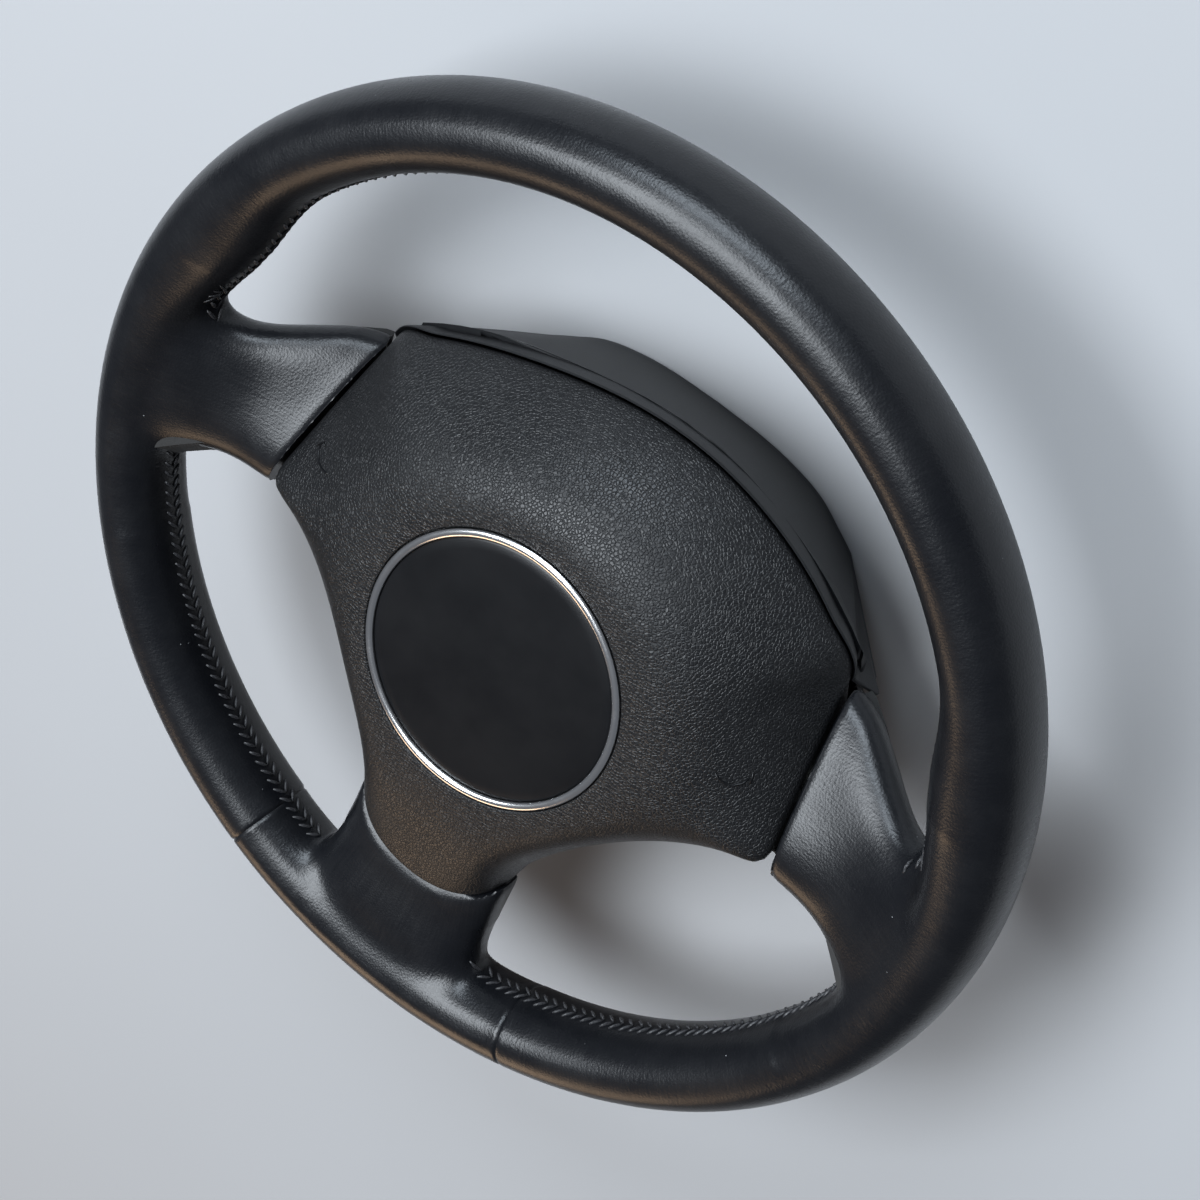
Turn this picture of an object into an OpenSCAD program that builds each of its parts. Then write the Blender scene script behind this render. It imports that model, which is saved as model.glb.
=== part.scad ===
// Three-spoke car steering wheel, leather wrapped, with an airbag module that is pressed for the horn.
// The wheel lies on the rear face of its shroud: Z is the column axis, the driver is at +Z and
// 12 o'clock is +Y. Heights are over the rear face of the shroud, all sizes in millimetres.

/* [Rim] */
// Outer diameter of the rim
rim_d = 375; // [365:1:390]
// Width of the rim's section, across the wheel
rim_w = 29; // [27:0.5:32]
// Depth of the rim's section, along the column
rim_t = 37; // [34:0.5:40]
// Height of the middle of the rim over the rear face
rim_z = 85; // [83:0.5:92]
// How far each thumb grip stands in from the rim
grip_h = 5.5; // [0:0.5:7]
// Angle of the thumb grips above the side spokes
grip_a = 23; // [21:1:27]
// Thickness of the leather
leather_t = 1.3; // [1:0.1:1.6]
// Angle between the bottom spoke and each cross seam of the leather
seam_a = 22; // [20:1:26]

/* [Armature] */
// Width of the cast channel inside the rim
core_w = 13; // [11:0.5:15]
// Depth of the cast channel inside the rim
core_t = 14; // [12:0.5:16]
// Wall of the castings
cast_t = 3; // [2.5:0.25:3.5]
// Width of the cast arms
arm_w = 16; // [14:0.5:18]
// Height of the underside of the hub plate
hub_z = 44; // [42:0.5:45]
// Thickness of the hub plate
hub_t = 6; // [5:0.5:7]
// Outer radius of the hub boss
boss_r = 21; // [20:0.5:23]

/* [Column seat] */
// Diameter of the plain pilot bore
pilot_d = 18.5; // [17:0.1:20]
// Length of the plain pilot bore
pilot_l = 14; // [12:0.5:16]
// Number of spline teeth
teeth = 36; // [30:1:40]
// Height of a spline tooth
tooth_h = 0.8; // [0.6:0.1:0.9]
// Outer radius of the steel bush
bush_r = 14; // [13:0.25:15]
// Height of the flat rear face of the bush
seat_z = 10; // [8:0.5:12]

/* [Airbag cover] */
// Height of the middle of the badge over the middle of the rim
crown = 14.5; // [12:0.5:16]
// Tilt of the badge towards 12 o'clock
badge_tilt = 5; // [3:0.5:6]
// Distance of the badge from the column axis, towards 6 o'clock
badge_y = 12.5; // [11:0.5:14]
// Outer radius of the chrome ring
ring_r = 51.3; // [49:0.1:52]
// Width of the chrome ring
ring_w = 3; // [2:0.25:4]
// Depth of the recess that holds the badge
recess = 2.6; // [2:0.1:3]
// Wall of the cover
cover_t = 2.8; // [2.4:0.1:3]
// Gap between the cover and the spokes
cover_gap = 3; // [2.5:0.1:4]
// Gap between the cover and the shroud around its top edge
shroud_gap = 1.5; // [1:0.1:2]

/* [Rear shroud] */
// Wall of the shroud
shroud_t = 2.5; // [2:0.1:3]
// Radius of the opening for the steering column
well_r = 43; // [40:0.5:45]

/* [Airbag module] */
// Travel of the module when the horn is pressed
horn_travel = 2.2; // [1.8:0.1:2.4]
// Radius of the inflator's upper can
inflator_r = 33; // [31:0.5:34]
// Diameter of the guide pins
pin_d = 6; // [5.5:0.25:6.5]
// Wire diameter of the horn springs
spring_wire = 1.1; // [0.9:0.1:1.3]
// Turns of a horn spring
spring_turns = 4; // [3:0.5:4.5]

/* [Hidden] */
$fn = 64;
eps = 0.01;

// Clearances that are used more than once
slip = 0.3;
play = 0.2;
ring_gap = 0.5;
over = 1;

// Rim values
rim_r = rim_d / 2 - rim_w / 2;
rim_steps = 60;
rim_sides = 14;
inner_sides = 8;
grip_span = 15;

// Outline of the cover in plan, right half, from the top to the bottom
top_y = 85;
top_r = 153;
top_x = 86;
corner = [99, 43];
side = [110, -16];
waist = [[77, -25], [38, -83]];
waist_n = 9;
foot_y = -(rim_r - 48);
foot = [35, foot_y + 17];
// Height of the cover's edge at those places, from the middle of the rim
top_e = -26;
corner_e = -30;
side_e = -2;
flank_e = -8;
foot_e = 8;
// How full the dome is towards the top, the flanks of the foot and the foot itself
dome_power = 2.2;
flank_power = 4;
foot_power = 1.3;
// Rear edge of the cover's skirt at the sides, at the top and at the flanks of the foot
skirt_z = 46;
skirt_top = 53;
skirt_foot = 62;
// How far the skirt stands in at the top, where the shroud's wall leans in
skirt_in = 4;
// Depth of the skirt beside the spokes, and the room under it for the travel
skirt_lip = 14;
under_skirt = 3.5;

// Stack of the airbag module
plate_z = rim_z - 21;
plate_t = 1.5;
stud_r = inflator_r + 9;
pin_ring = stud_r + 12;
pin_at = [for (a = [22, 158, 270]) pin_ring * [cos(a), sin(a)]];
pad_r = 10;
pad_top = hub_z + hub_t;
flange_t = 2;
can_floor = plate_z - 7;
can_top = plate_z + 20;
wall_h = 15;

// Leather spokes, heights from the middle of the rim:
// [distance out, place across, height, half width, half thickness, tilt]
function out(t) = mix(corner[0], rim_r, t);
side_keys = [[corner[0] - 5, 8.3, -28.3, 33.5, 15, -30], [out(0.09), 8.3, -26.3, 33.5, 15, -27],
             [out(0.28), 4.5, -22, 31, 14.3, -20], [out(0.47), 0, -15, 29, 13.5, -13],
             [out(0.65), -6, -8, 30.5, 14, -7], [out(0.81), -8, -2, 38, 14, -3],
             [rim_r - 2, -8, 0, 44, 12, 0]];
foot_keys = [[-foot_y - 11, 0, -7, foot[0] + 0.5, 15, 0], [-foot_y + 1, 0, -6.5, foot[0] + 0.5, 15, 0],
             [rim_r - 34, 0, -5, foot[0] + 1, 15.5, 0], [rim_r - 23, 0, -3, foot[0] + 3, 16, 0],
             [rim_r - 13, 0, -1.5, foot[0] + 8, 15.5, 0], [rim_r - 2, 0, 0, foot[0] + 15, 12, 0]];
spoke_steps = 10;
spoke_power = 2.8;
// The seam between the leather and the shroud leans back from the cover's corner
seam_x = 100;
seam_lean = 24;

// Cast arms in side view: [distance out, height of the underside]
arm_root = boss_r - 1;
side_arm = [[arm_root, hub_z - 6], [45, hub_z - 4.5], [75, hub_z - 1], [out(0.18), rim_z - 30],
            [out(0.69), rim_z - 13], [rim_r - 5, rim_z - 7]];
foot_arm = [[arm_root, hub_z - 6], [64, hub_z - 4.2], [-foot_y - 12, rim_z - 19.3],
            [rim_r - 16, rim_z - 12], [rim_r - 5, rim_z - 7]];
arm_t = 10;
arm_y = 3;

// Screws of the rear shroud
screw_at = [[38, 44], [-38, 44], [30, -44], [-30, -44]];
screw_d = 4;
screw_head_z = 26;

function mix(a, b, t) = a + (b - a) * t;
function bump(t) = abs(t) < 1 ? pow(cos(90 * t), 2) : 0;
function bezier(p, t) = let(s = 1 - t)
    s * s * s * p[0] + 3 * s * s * t * p[1] + 3 * s * t * t * p[2] + t * t * t * p[3];
function oval(n, power, out, in, h) = [for (i = [0:n - 1]) let(c = cos(360 * i / n), s = sin(360 * i / n))
    [(c > 0 ? out : in) * sign(c) * pow(abs(c), 2 / power), h * sign(s) * pow(abs(s), 2 / power)]];
// A smooth row of sections through the key sections
function key(k, i) = k[max(0, min(len(k) - 1, i))];
function between(k, t) = let(i = min(len(k) - 2, floor(t)), f = t - i, a = key(k, i - 1), b = key(k, i),
    c = key(k, i + 1), d = key(k, i + 2))
    0.5 * (2 * b + (c - a) * f + (2 * a - 5 * b + 4 * c - d) * f * f + (3 * b - a - 3 * c + d) * f * f * f);

// Solid between two rings of points
module web(a, b) {
    hull() polyhedron(points = concat(a, b), faces = [[for (i = [0:len(a) + len(b) - 1]) i]]);
}

// Rim: one oval section at each station, thicker inwards at the thumb grips
function grip(a) = grip_h * (bump((a - grip_a) / grip_span) + bump((a - 180 + grip_a) / grip_span));
function rim_ring(a, inset, n) = let(half = rim_w / 2 - inset)
    [for (p = oval(n, 2.1, half, half + grip(a), rim_t / 2 - inset)) let(r = rim_r + p[0])
        [r * cos(a), r * sin(a), rim_z + p[1]]];
module rim_form(inset, n) {
    step = 360 / rim_steps;
    for (i = [0:rim_steps - 1])
        web(rim_ring(i * step - 90, inset, n), rim_ring((i + 1) * step - 90, inset, n));
}

// A spoke along +X, built from tilted oval sections
function spoke_ring(k, inset, n) = [for (p = oval(n, spoke_power, k[3] - inset, k[3] - inset, k[4] - inset))
    [k[0], k[1] + p[0] * cos(k[5]) - p[1] * sin(k[5]), rim_z + k[2] + p[0] * sin(k[5]) + p[1] * cos(k[5])]];
module spoke_form(keys, inset, n) {
    span = len(keys) - 1;
    for (i = [0:spoke_steps - 1])
        web(spoke_ring(between(keys, span * i / spoke_steps), inset, n),
            spoke_ring(between(keys, span * (i + 1) / spoke_steps), inset, n));
}

// Everything that the leather wraps: the rim and the three spokes
module wrapped(inset, n) {
    rim_form(inset, n);
    for (m = [0, 1]) mirror([m, 0, 0]) spoke_form(side_keys, inset, n);
    rotate([0, 0, -90]) spoke_form(foot_keys, inset, n);
}

// Space that belongs to the cover and the shroud, where the wrapped spokes stop
module hub_space(gap) {
    // Above the steps that the spokes carry on under the skirt
    foot_low = rim_z + foot_e - skirt_lip - under_skirt;
    intersection() {
        cover_prism(gap);
        rotate([90, 0, 90]) linear_extrude(rim_d, center = true) polygon(concat(
            [[foot_y - 20, foot_low], [foot_y + 30, foot_low], [foot_y + 31, skirt_z - under_skirt],
                [side[1] + 0.5, skirt_z - under_skirt]],
            [for (i = [5:-1:0]) [mix(corner[1], side[1], i / 5) + (i == 5 ? 1 : 0),
                side_skirt(i) - under_skirt]],
            [[rim_r, skirt_z - under_skirt], [rim_r, 2 * rim_z], [foot_y - 20, 2 * rim_z]]));
    }
    // Inward of the seams with the shroud
    intersection() {
        for (m = [0, 1]) mirror([m, 0, 0])
            translate([seam_x + gap / 4, 0, rim_z + corner_e]) rotate([0, -seam_lean, 0])
                translate([-60, -40, -rim_z]) cube([60, 140, 2 * rim_z]);
        translate([-rim_r, -40, 0]) cube([2 * rim_r, 200, rim_z]);
    }
    translate([-50, foot_y + 8, 0]) cube([100, 60, rim_z]);
}

// Wedge of the wheel around the bottom spoke
module foot_wedge(a) {
    linear_extrude(2 * rim_z) polygon([[0, 0], [-rim_d * tan(a), -rim_d], [rim_d * tan(a), -rim_d]]);
}

// Outline of the cover: arc at the top, rounded corner, straight side, waist at the window, round foot
function top_arc(x) = [x, top_y - top_r + sqrt(top_r * top_r - x * x)];
function half_outline() = concat(
    [for (i = [0:8]) top_arc(top_x * i / 8)],
    [for (i = [1:4]) bezier([top_arc(top_x), corner + [-5, 10], corner + [-1, 6], corner], i / 4)],
    [for (i = [1:5]) mix(corner, side, i / 5)],
    [for (i = [1:waist_n]) bezier([side, waist[0], waist[1], foot], i / waist_n)],
    [for (i = [1:4]) bezier([foot, foot + [-1, -9], [14, foot_y], [0, foot_y]], i / 4)]);
function half_edge() = concat(
    [for (i = [0:8]) top_e],
    [for (i = [1:4]) mix(top_e, corner_e, i / 4)],
    [for (i = [1:5]) mix(corner_e, side_e, pow(i / 5, 0.85))],
    [for (i = [1:waist_n]) mix(side_e, flank_e, pow(i / waist_n, 3))],
    [for (i = [1:4]) mix(flank_e, foot_e, 1 - pow(1 - i / 4, 3))]);
function half_power() = concat(
    [for (i = [0:17]) dome_power],
    [for (i = [1:waist_n]) mix(dome_power, flank_power, i / waist_n)],
    [for (i = [1:4]) mix(flank_power, foot_power, i / 4)]);
function side_skirt(i) = max(skirt_z, rim_z + mix(corner_e, side_e, pow(i / 5, 0.85)) - skirt_lip);
// Rear edge of the skirt from the side corner to the foot
function skirt_at(y) = mix(skirt_z, skirt_foot, max(0, (y - side[1]) / (foot_y - side[1])));
function half_skirt() = concat(
    [for (i = [0:12]) skirt_top],
    [for (i = [1:5]) side_skirt(i)],
    [for (i = [1:waist_n - 1]) skirt_at(bezier([side, waist[0], waist[1], foot], i / waist_n)[1])],
    [for (i = [0:4]) rim_z + foot_e - skirt_lip]);
function half_inset() = concat([for (i = [0:8]) skirt_in], [for (i = [1:3]) skirt_in + 1],
    [skirt_in / 2], [for (i = [1:waist_n + 9]) 0]);
function cover_outline() = let(h = half_outline(), n = len(h))
    concat(h, [for (i = [n - 2:-1:1]) [-h[i][0], h[i][1]]]);
function both(h) = concat(h, [for (i = [len(h) - 2:-1:1]) h[i]]);

// One ring of the domed cover: s runs from the badge (0) to the edge (1)
function badge_plane(x, y) = rim_z + crown - (y + badge_y) * tan(badge_tilt);
function dome_ring(s, drop, inset) = let(o = cover_outline(), e = both(half_edge()), p = both(half_power()))
    [for (i = [0:len(o) - 1])
        let(v = o[i] + [0, badge_y], l = norm(v), d = v / l, r0 = ring_r + over, r = mix(r0, l - inset, s),
            zb = badge_plane(d[0] * r0, d[1] * r0 - badge_y), ze = rim_z + e[i])
        [d[0] * r, d[1] * r - badge_y, mix(ze, zb, 1 - pow(s, p[i])) - drop]];
function disc_ring(r, drop) = [for (p = cover_outline())
    let(v = p + [0, badge_y], d = v / norm(v), y = d[1] * r - badge_y)
        [d[0] * r, y, badge_plane(0, y) - drop]];
function skirt_ring(inset) = let(o = cover_outline(), h = both(half_skirt()), k = both(half_inset()))
    [for (i = [0:len(o) - 1])
        let(v = o[i] + [0, badge_y], q = v * (1 - (inset + k[i]) / norm(v))) [q[0], q[1] - badge_y, h[i]]];

function wall_ring(t, drop, inset) = let(o = cover_outline(), e = both(half_edge()),
    h = both(half_skirt()), k = both(half_inset()))
    [for (i = [0:len(o) - 1])
        let(v = o[i] + [0, badge_y], q = v * (1 - (inset + t * k[i]) / norm(v)))
        [q[0], q[1] - badge_y, max(rim_z + e[i] - drop, h[i] + 0.6)]];

// Closed skin through a list of rings, capped by a point at each end
module skin(rings, first, last) {
    n = len(rings[0]);
    m = len(rings);
    points = concat([first], [for (r = rings) each r], [last]);
    sides = [for (k = [0:m - 2]) for (i = [0:n - 1]) let(j = (i + 1) % n, a = 1 + k * n, b = a + n)
        each [[a + i, b + j, a + j], [a + i, b + i, b + j]]];
    ends = [for (i = [0:n - 1]) let(j = (i + 1) % n, z = 1 + (m - 1) * n)
        each [[0, 1 + i, 1 + j], [1 + m * n, z + j, z + i]]];
    polyhedron(points = points, faces = concat(ends, sides));
}
dome_steps = [0, 0.22, 0.44, 0.64, 0.82, 0.95];
inner_steps = [0.95, 0.82, 0.62, 0.35, 0];
module cover_skin() {
    top = [0, -badge_y, badge_plane(0, -badge_y)];
    outer = concat([disc_ring(ring_r + ring_gap, recess), disc_ring(ring_r + ring_gap, 0)],
        [for (s = dome_steps) dome_ring(s, 0, 0)],
        [dome_ring(1, 2, 0.6), wall_ring(0.3, 4, 0), skirt_ring(0)]);
    inner = concat([skirt_ring(cover_t), wall_ring(0.6, 5 + cover_t, cover_t)],
        [for (s = inner_steps) dome_ring(s, cover_t, cover_t)],
        [disc_ring(ring_r - 2, recess + cover_t)]);
    skin(concat(outer, inner), top - [0, 0, recess], top - [0, 0, recess + cover_t]);
}
module cover_solid() {
    outer = concat([disc_ring(ring_r + over, recess + over)], [for (s = dome_steps) dome_ring(s, over, 1)],
        [wall_ring(0.3, 5, over), skirt_ring(over)]);
    mid = [0, -badge_y, badge_plane(0, -badge_y)];
    skin(outer, mid - [0, 0, recess + over], [0, -badge_y, skirt_z]);
}

// Plan of the module's sheet-metal housing, and of what surrounds it
case_x = stud_r + 10;
case_top = stud_r - 4;
case_low = -stud_r - 8;
case_r = 10;
module housing_plan(o) {
    hull() for (m = [-1, 1]) {
        translate([m * case_x, case_top]) circle(case_r + o, $fn = 24);
        translate([m * case_x, -14]) circle(case_r + o, $fn = 24);
        translate([m * case_x / 2, case_low]) circle(case_r + o, $fn = 24);
    }
}
rivet_wall = [for (x = [-36, 0, 36]) [x, case_top + case_r, 90], for (y = [-7, 26]) [case_x + case_r, y, 0],
              for (y = [-7, 26]) [-case_x - case_r, y, 180], for (x = [-16, 16]) [x, case_low - case_r, -90]];
rivet_z = plate_z + wall_h - 5;
rib_t = 2.6;

module airbag_cover() {
    color([0.13, 0.13, 0.14]) difference() {
        union() {
            cover_skin();
            // Wall behind the dome that is riveted to the housing, with a lug at each rivet
            intersection() {
                union() {
                    translate([0, 0, plate_z + 4]) linear_extrude(rim_z) difference() {
                        housing_plan(plate_t + rib_t);
                        housing_plan(plate_t);
                    }
                    for (r = rivet_wall) translate([r[0], r[1], rivet_z]) rotate([0, 0, r[2]])
                        hull() for (h = [-3, 12]) translate([plate_t + rib_t, 0, h])
                            cube([3, 9, 4], center = true);
                }
                cover_solid();
            }
        }
        // Ways for the cast arms under the skirt
        for (m = [0, 1]) mirror([m, 0, 0]) translate([80, arm_y - arm_w / 2 - 3, 0])
            cube([60, arm_w + 6, side_arm[3][1] + arm_t + horn_travel + 0.8]);
        translate([-arm_w / 2 - 3, foot_y - 2, 0])
            cube([arm_w + 6, 40, foot_arm[2][1] + arm_t + horn_travel + 4]);
        // Rivet holes
        for (r = rivet_wall) translate([r[0], r[1], rivet_z]) rotate([0, 0, r[2]]) rotate([0, 90, 0])
            translate([0, 0, -1]) cylinder(r = 2 + play / 2, h = 9, $fn = 10);
        // Snap holes of the badge
        on_badge() for (a = [45:90:315]) rotate([0, 0, a])
            translate([snap_at, 0, -recess - 2 * cover_t]) cylinder(r = 2.5, h = 3 * cover_t, $fn = 12);
    }
}

// Badge disc, bare, with four snap posts
snap_at = 0.6 * ring_r;
module on_badge() {
    translate([0, -badge_y, badge_plane(0, -badge_y)]) rotate([-badge_tilt, 0, 0]) children();
}
module badge_disc() {
    color([0.08, 0.08, 0.09]) on_badge() {
        rotate_extrude() polygon([[0, -recess + slip], [ring_r - ring_w - play, -recess + slip],
            [ring_r - ring_w - play, -0.6], [ring_r - ring_w - 1.2, 0], [ring_r / 2, 0.5], [0, 0.7]]);
        for (a = [45:90:315]) rotate([0, 0, a]) translate([snap_at, 0, -recess - cover_t - 1])
            cylinder(r = 2.2, h = cover_t + 2);
    }
}
module badge_ring() {
    color([0.8, 0.8, 0.82]) on_badge() rotate_extrude() translate([ring_r - ring_w, -recess + slip])
        polygon([[0, 0], [ring_w, 0], [ring_w, recess - slip], [ring_w * 0.8, recess + 0.3],
            [ring_w / 2, recess + 0.5], [ring_w * 0.2, recess + 0.3], [0, recess - slip]]);
}

// Cast magnesium skeleton: hub boss and plate, three ribbed arms and the channel in the rim
module arm(keys, w, o) {
    translate([0, w / 2 + o, 0]) rotate([90, 0, 0]) linear_extrude(w + 2 * o)
        polygon(concat([for (k = keys) k - [0, o]],
            [for (i = [len(keys) - 1:-1:0]) keys[i] + [0, arm_t + o]]));
}
module arm_pocket(keys) {
    low = [for (k = keys) if (k[0] > 60 && k[0] < rim_r - 6) k];
    translate([0, arm_w / 2 - cast_t, 0]) rotate([90, 0, 0]) linear_extrude(arm_w - 2 * cast_t)
        polygon(concat([for (k = low) k - [0, 1]],
            [for (i = [len(low) - 1:-1:0]) low[i] + [0, arm_t - cast_t]]));
}
module arms(o) {
    for (m = [0, 1]) mirror([m, 0, 0]) translate([0, arm_y, 0]) arm(side_arm, arm_w, o);
    rotate([0, 0, -90]) arm(foot_arm, arm_w, o);
}
module core_section(o) {
    translate([rim_r - core_w / 2 - o, rim_z - core_t / 2 - o]) square([core_w + 2 * o, core_t + 2 * o]);
}
module hub_plate() {
    translate([0, 0, hub_z]) linear_extrude(hub_t) union() {
        circle(38);
        for (p = pin_at) {
            translate(p) circle(pad_r);
            rotate([0, 0, atan2(p[1], p[0])]) translate([0, -7]) square([norm(p), 14]);
        }
        for (p = screw_at) {
            translate(p) circle(6.5);
            rotate([0, 0, atan2(p[1], p[0])]) translate([0, -4.5]) square([norm(p), 9]);
        }
    }
}
module armature() {
    color([0.62, 0.62, 0.6]) difference() {
        union() {
            hub_plate();
            translate([0, 0, seat_z + 4]) cylinder(r = boss_r, h = hub_z + hub_t - seat_z - 4);
            arms(0);
            rotate_extrude() difference() {
                core_section(0);
                translate([rim_r - core_w / 2 + cast_t, rim_z - core_t / 2 - 1])
                    square([core_w - 2 * cast_t, core_t - cast_t + 1]);
            }
        }
        translate([0, 0, seat_z]) cylinder(r = bush_r, h = 2 * hub_z);
        for (m = [0, 1]) mirror([m, 0, 0]) translate([0, arm_y, 0]) arm_pocket(side_arm);
        rotate([0, 0, -90]) arm_pocket(foot_arm);
        for (p = pin_at) translate([p[0], p[1], 0]) {
            cylinder(d = pin_d + 4, h = 2 * hub_z);
            // Room under the pad for the latch wire
            cylinder(r = 20, h = hub_z);
        }
        for (p = screw_at) translate([p[0], p[1], hub_z - 1]) cylinder(d = screw_d + play, h = hub_t + 2);
    }
}

// Steel bush: plain pilot bore behind, splines in front, flat seat at the rear
module hub_bush() {
    spline_r = pilot_d / 2 - 0.5;
    color([0.5, 0.5, 0.52]) translate([0, 0, seat_z]) difference() {
        union() {
            cylinder(r = bush_r, h = hub_z + hub_t - seat_z);
            cylinder(r = boss_r - 2, h = 4);
        }
        translate([0, 0, -1]) cylinder(d = pilot_d, h = pilot_l + 1);
        linear_extrude(hub_z + hub_t) union() {
            circle(spline_r - tooth_h);
            for (i = [0:teeth - 1]) rotate([0, 0, i * 360 / teeth])
                polygon([[spline_r - tooth_h - 0.4, -0.42], [spline_r, -0.18], [spline_r, 0.18],
                    [spline_r - tooth_h - 0.4, 0.42]]);
        }
        translate([0, 0, hub_z + hub_t - seat_z - 2]) cylinder(r1 = spline_r, r2 = spline_r + 2, h = 2 + eps);
    }
}

// Foam over the channel and the arms, with the casting's own space left free
module rim_foam() {
    color([0.35, 0.35, 0.35]) difference() {
        wrapped(leather_t, inner_sides);
        rotate_extrude() core_section(slip);
        arms(slip);
        hub_space(cover_gap);
    }
}
module leather_shell() {
    difference() {
        wrapped(0, rim_sides);
        wrapped(leather_t, inner_sides);
        hub_space(cover_gap);
    }
}
module leather_upper() {
    color([0.1, 0.1, 0.11]) difference() {
        leather_shell();
        foot_wedge(seam_a);
    }
}
module leather_lower() {
    color([0.12, 0.11, 0.11]) intersection() {
        leather_shell();
        translate([0, -play, 0]) foot_wedge(seam_a);
    }
}

// Rear shroud: a drafted tub that meets the top edge of the cover, shoulders under the spokes and a tongue
rear_y = top_y - 25;
rear_x = 59;
rear_r = 8;
tub_r = 68;
tub_z = 40;
tongue_r = 26;
module thin(z) {
    translate([0, 0, z]) linear_extrude(eps) children();
}
// Plan of the wall at the top edge of the cover
module top_cap(o) {
    intersection() {
        translate([0, top_y - top_r]) circle(top_r + o, $fn = 120);
        translate([-corner[0] - o, corner[1] - 12]) square([2 * corner[0] + 2 * o, top_y]);
        hull() for (m = [-1, 1]) {
            translate([m * (corner[0] - 14), corner[1]]) circle(14 + o, $fn = 24);
            translate([m * 30, top_y]) circle(14 + o, $fn = 20);
            translate([m * (corner[0] - 14), corner[1] - 20]) circle(14 + o, $fn = 24);
        }
    }
}
// Plan of the rear face: the same arc further in, with tight corners, and round towards the foot
module rear_plan(o) {
    hull() {
        intersection() {
            translate([0, rear_y + 4 - top_r]) circle(top_r + o, $fn = 120);
            translate([-rear_x, 0]) square([2 * rear_x, top_y]);
        }
        for (m = [-1, 1]) translate([m * rear_x, rear_y - 20]) circle(rear_r + o, $fn = 24);
        translate([0, -8]) circle(56 + o, $fn = 28);
    }
}
module shroud_body(o) {
    wall = shroud_gap + shroud_t + o;
    hull() {
        thin(o < 0 ? -o : 0) rear_plan(o - 2.5);
        thin(3) rear_plan(o);
        thin(rim_z + top_e - 2) top_cap(wall);
        thin(tub_z) translate([0, -6]) circle(tub_r + o, $fn = 32);
        intersection() {
            for (m = [0, 1]) mirror([m, 0, 0])
                web(spoke_ring(between(side_keys, 0.4), -o, rim_sides),
                    spoke_ring(between(side_keys, 0.9), -o, rim_sides));
            translate([-rim_r, -rim_r, 0]) cube([2 * rim_r, 2 * rim_r, skirt_z + 3]);
        }
    }
    // Tongue under the foot of the cover
    hull() {
        thin(12) translate([0, -40]) circle(18 + o, $fn = 24);
        thin(skirt_at(-60) - under_skirt) translate([0, -60]) circle(tongue_r + 2 + o, $fn = 24);
        thin(skirt_at(foot_y + 26) - under_skirt) translate([0, foot_y + 26]) circle(tongue_r + o, $fn = 24);
        thin(tub_z) translate([0, -88]) circle(tongue_r - 4 + o, $fn = 24);
    }
}
// Everything in front of the line that the skirt's rear edge follows
module in_front(o) {
    rotate([90, 0, 90]) linear_extrude(rim_d, center = true)
        polygon([[rim_r, skirt_z - under_skirt - o], [side[1], skirt_z - under_skirt - o],
            [foot_y, skirt_foot - under_skirt - o], [foot_y - 20, skirt_foot - under_skirt - o],
            [foot_y - 20, 2 * rim_z], [rim_r, 2 * rim_z]]);
}
module rear_shroud() {
    color([0.15, 0.15, 0.16]) difference() {
        union() {
            difference() {
                shroud_body(0);
                shroud_body(-shroud_t);
                arms(2 * slip);
                hub_front();
                spoke_front();
                hub_opening();
            }
            // Flange along the cover's skirt, and a tray under the waist that joins it to the tub
            difference() {
                union() {
                    intersection() {
                        cover_prism(-2 * slip);
                        in_front(shroud_t);
                        behind(corner[1] - 10);
                    }
                    intersection() {
                        cover_prism(shroud_t - flange_w);
                        in_front(tray_d);
                        behind(-5);
                    }
                }
                intersection() {
                    cover_prism(-flange_w);
                    in_front(tray_d - shroud_t);
                }
                in_front(0);
                shroud_body(-shroud_t);
                arms(2 * slip);
                spoke_front();
            }
            intersection() {
                union() {
                    // Columns for the screws, with flat seats against the casting
                    for (p = screw_at) translate([p[0], p[1], 0.5])
                        cylinder(r = 5.5, h = hub_z - 0.5, $fn = 16);
                    // Collar round the column opening
                    cylinder(r = well_r + shroud_t, h = 8);
                }
                shroud_body(0);
            }
        }
        translate([0, 0, -1]) cylinder(r = well_r, h = 12);
        for (p = screw_at) translate([p[0], p[1], 0]) {
            translate([0, 0, -1]) cylinder(d = 9, h = screw_head_z + 1, $fn = 16);
            cylinder(d = screw_d + 2 * play, h = 2 * hub_z, $fn = 12);
        }
        // Ways for a release tool to the latch wires
        for (p = pin_at) translate([p[0], p[1], -1]) cylinder(d = 9, h = 12, $fn = 16);
    }
}
// The tub is open to the front under the module, inside a flange along the skirt
flange_w = 10;
tray_d = 10;
module cover_prism(o) {
    linear_extrude(2 * rim_z) offset(delta = o) polygon(cover_outline());
}
module behind(y) {
    translate([-rim_r, -rim_r, 0]) cube([2 * rim_r, rim_r + y, 2 * rim_z]);
}
module hub_opening() {
    translate([0, 0, tub_z]) cover_prism(-flange_w);
}
// Room in front of the shroud for the skirt of the cover, which drops by the horn travel
module hub_front() {
    intersection() {
        cover_prism(0.5);
        in_front(0);
        behind(corner[1] + 2);
    }
}
module spoke_front() {
    for (m = [0, 1]) mirror([m, 0, 0]) translate([seam_x, 0, rim_z + corner_e]) rotate([0, -seam_lean, 0])
        translate([slip, -100, -rim_z]) cube([100, 220, 2 * rim_z]);
}

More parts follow.
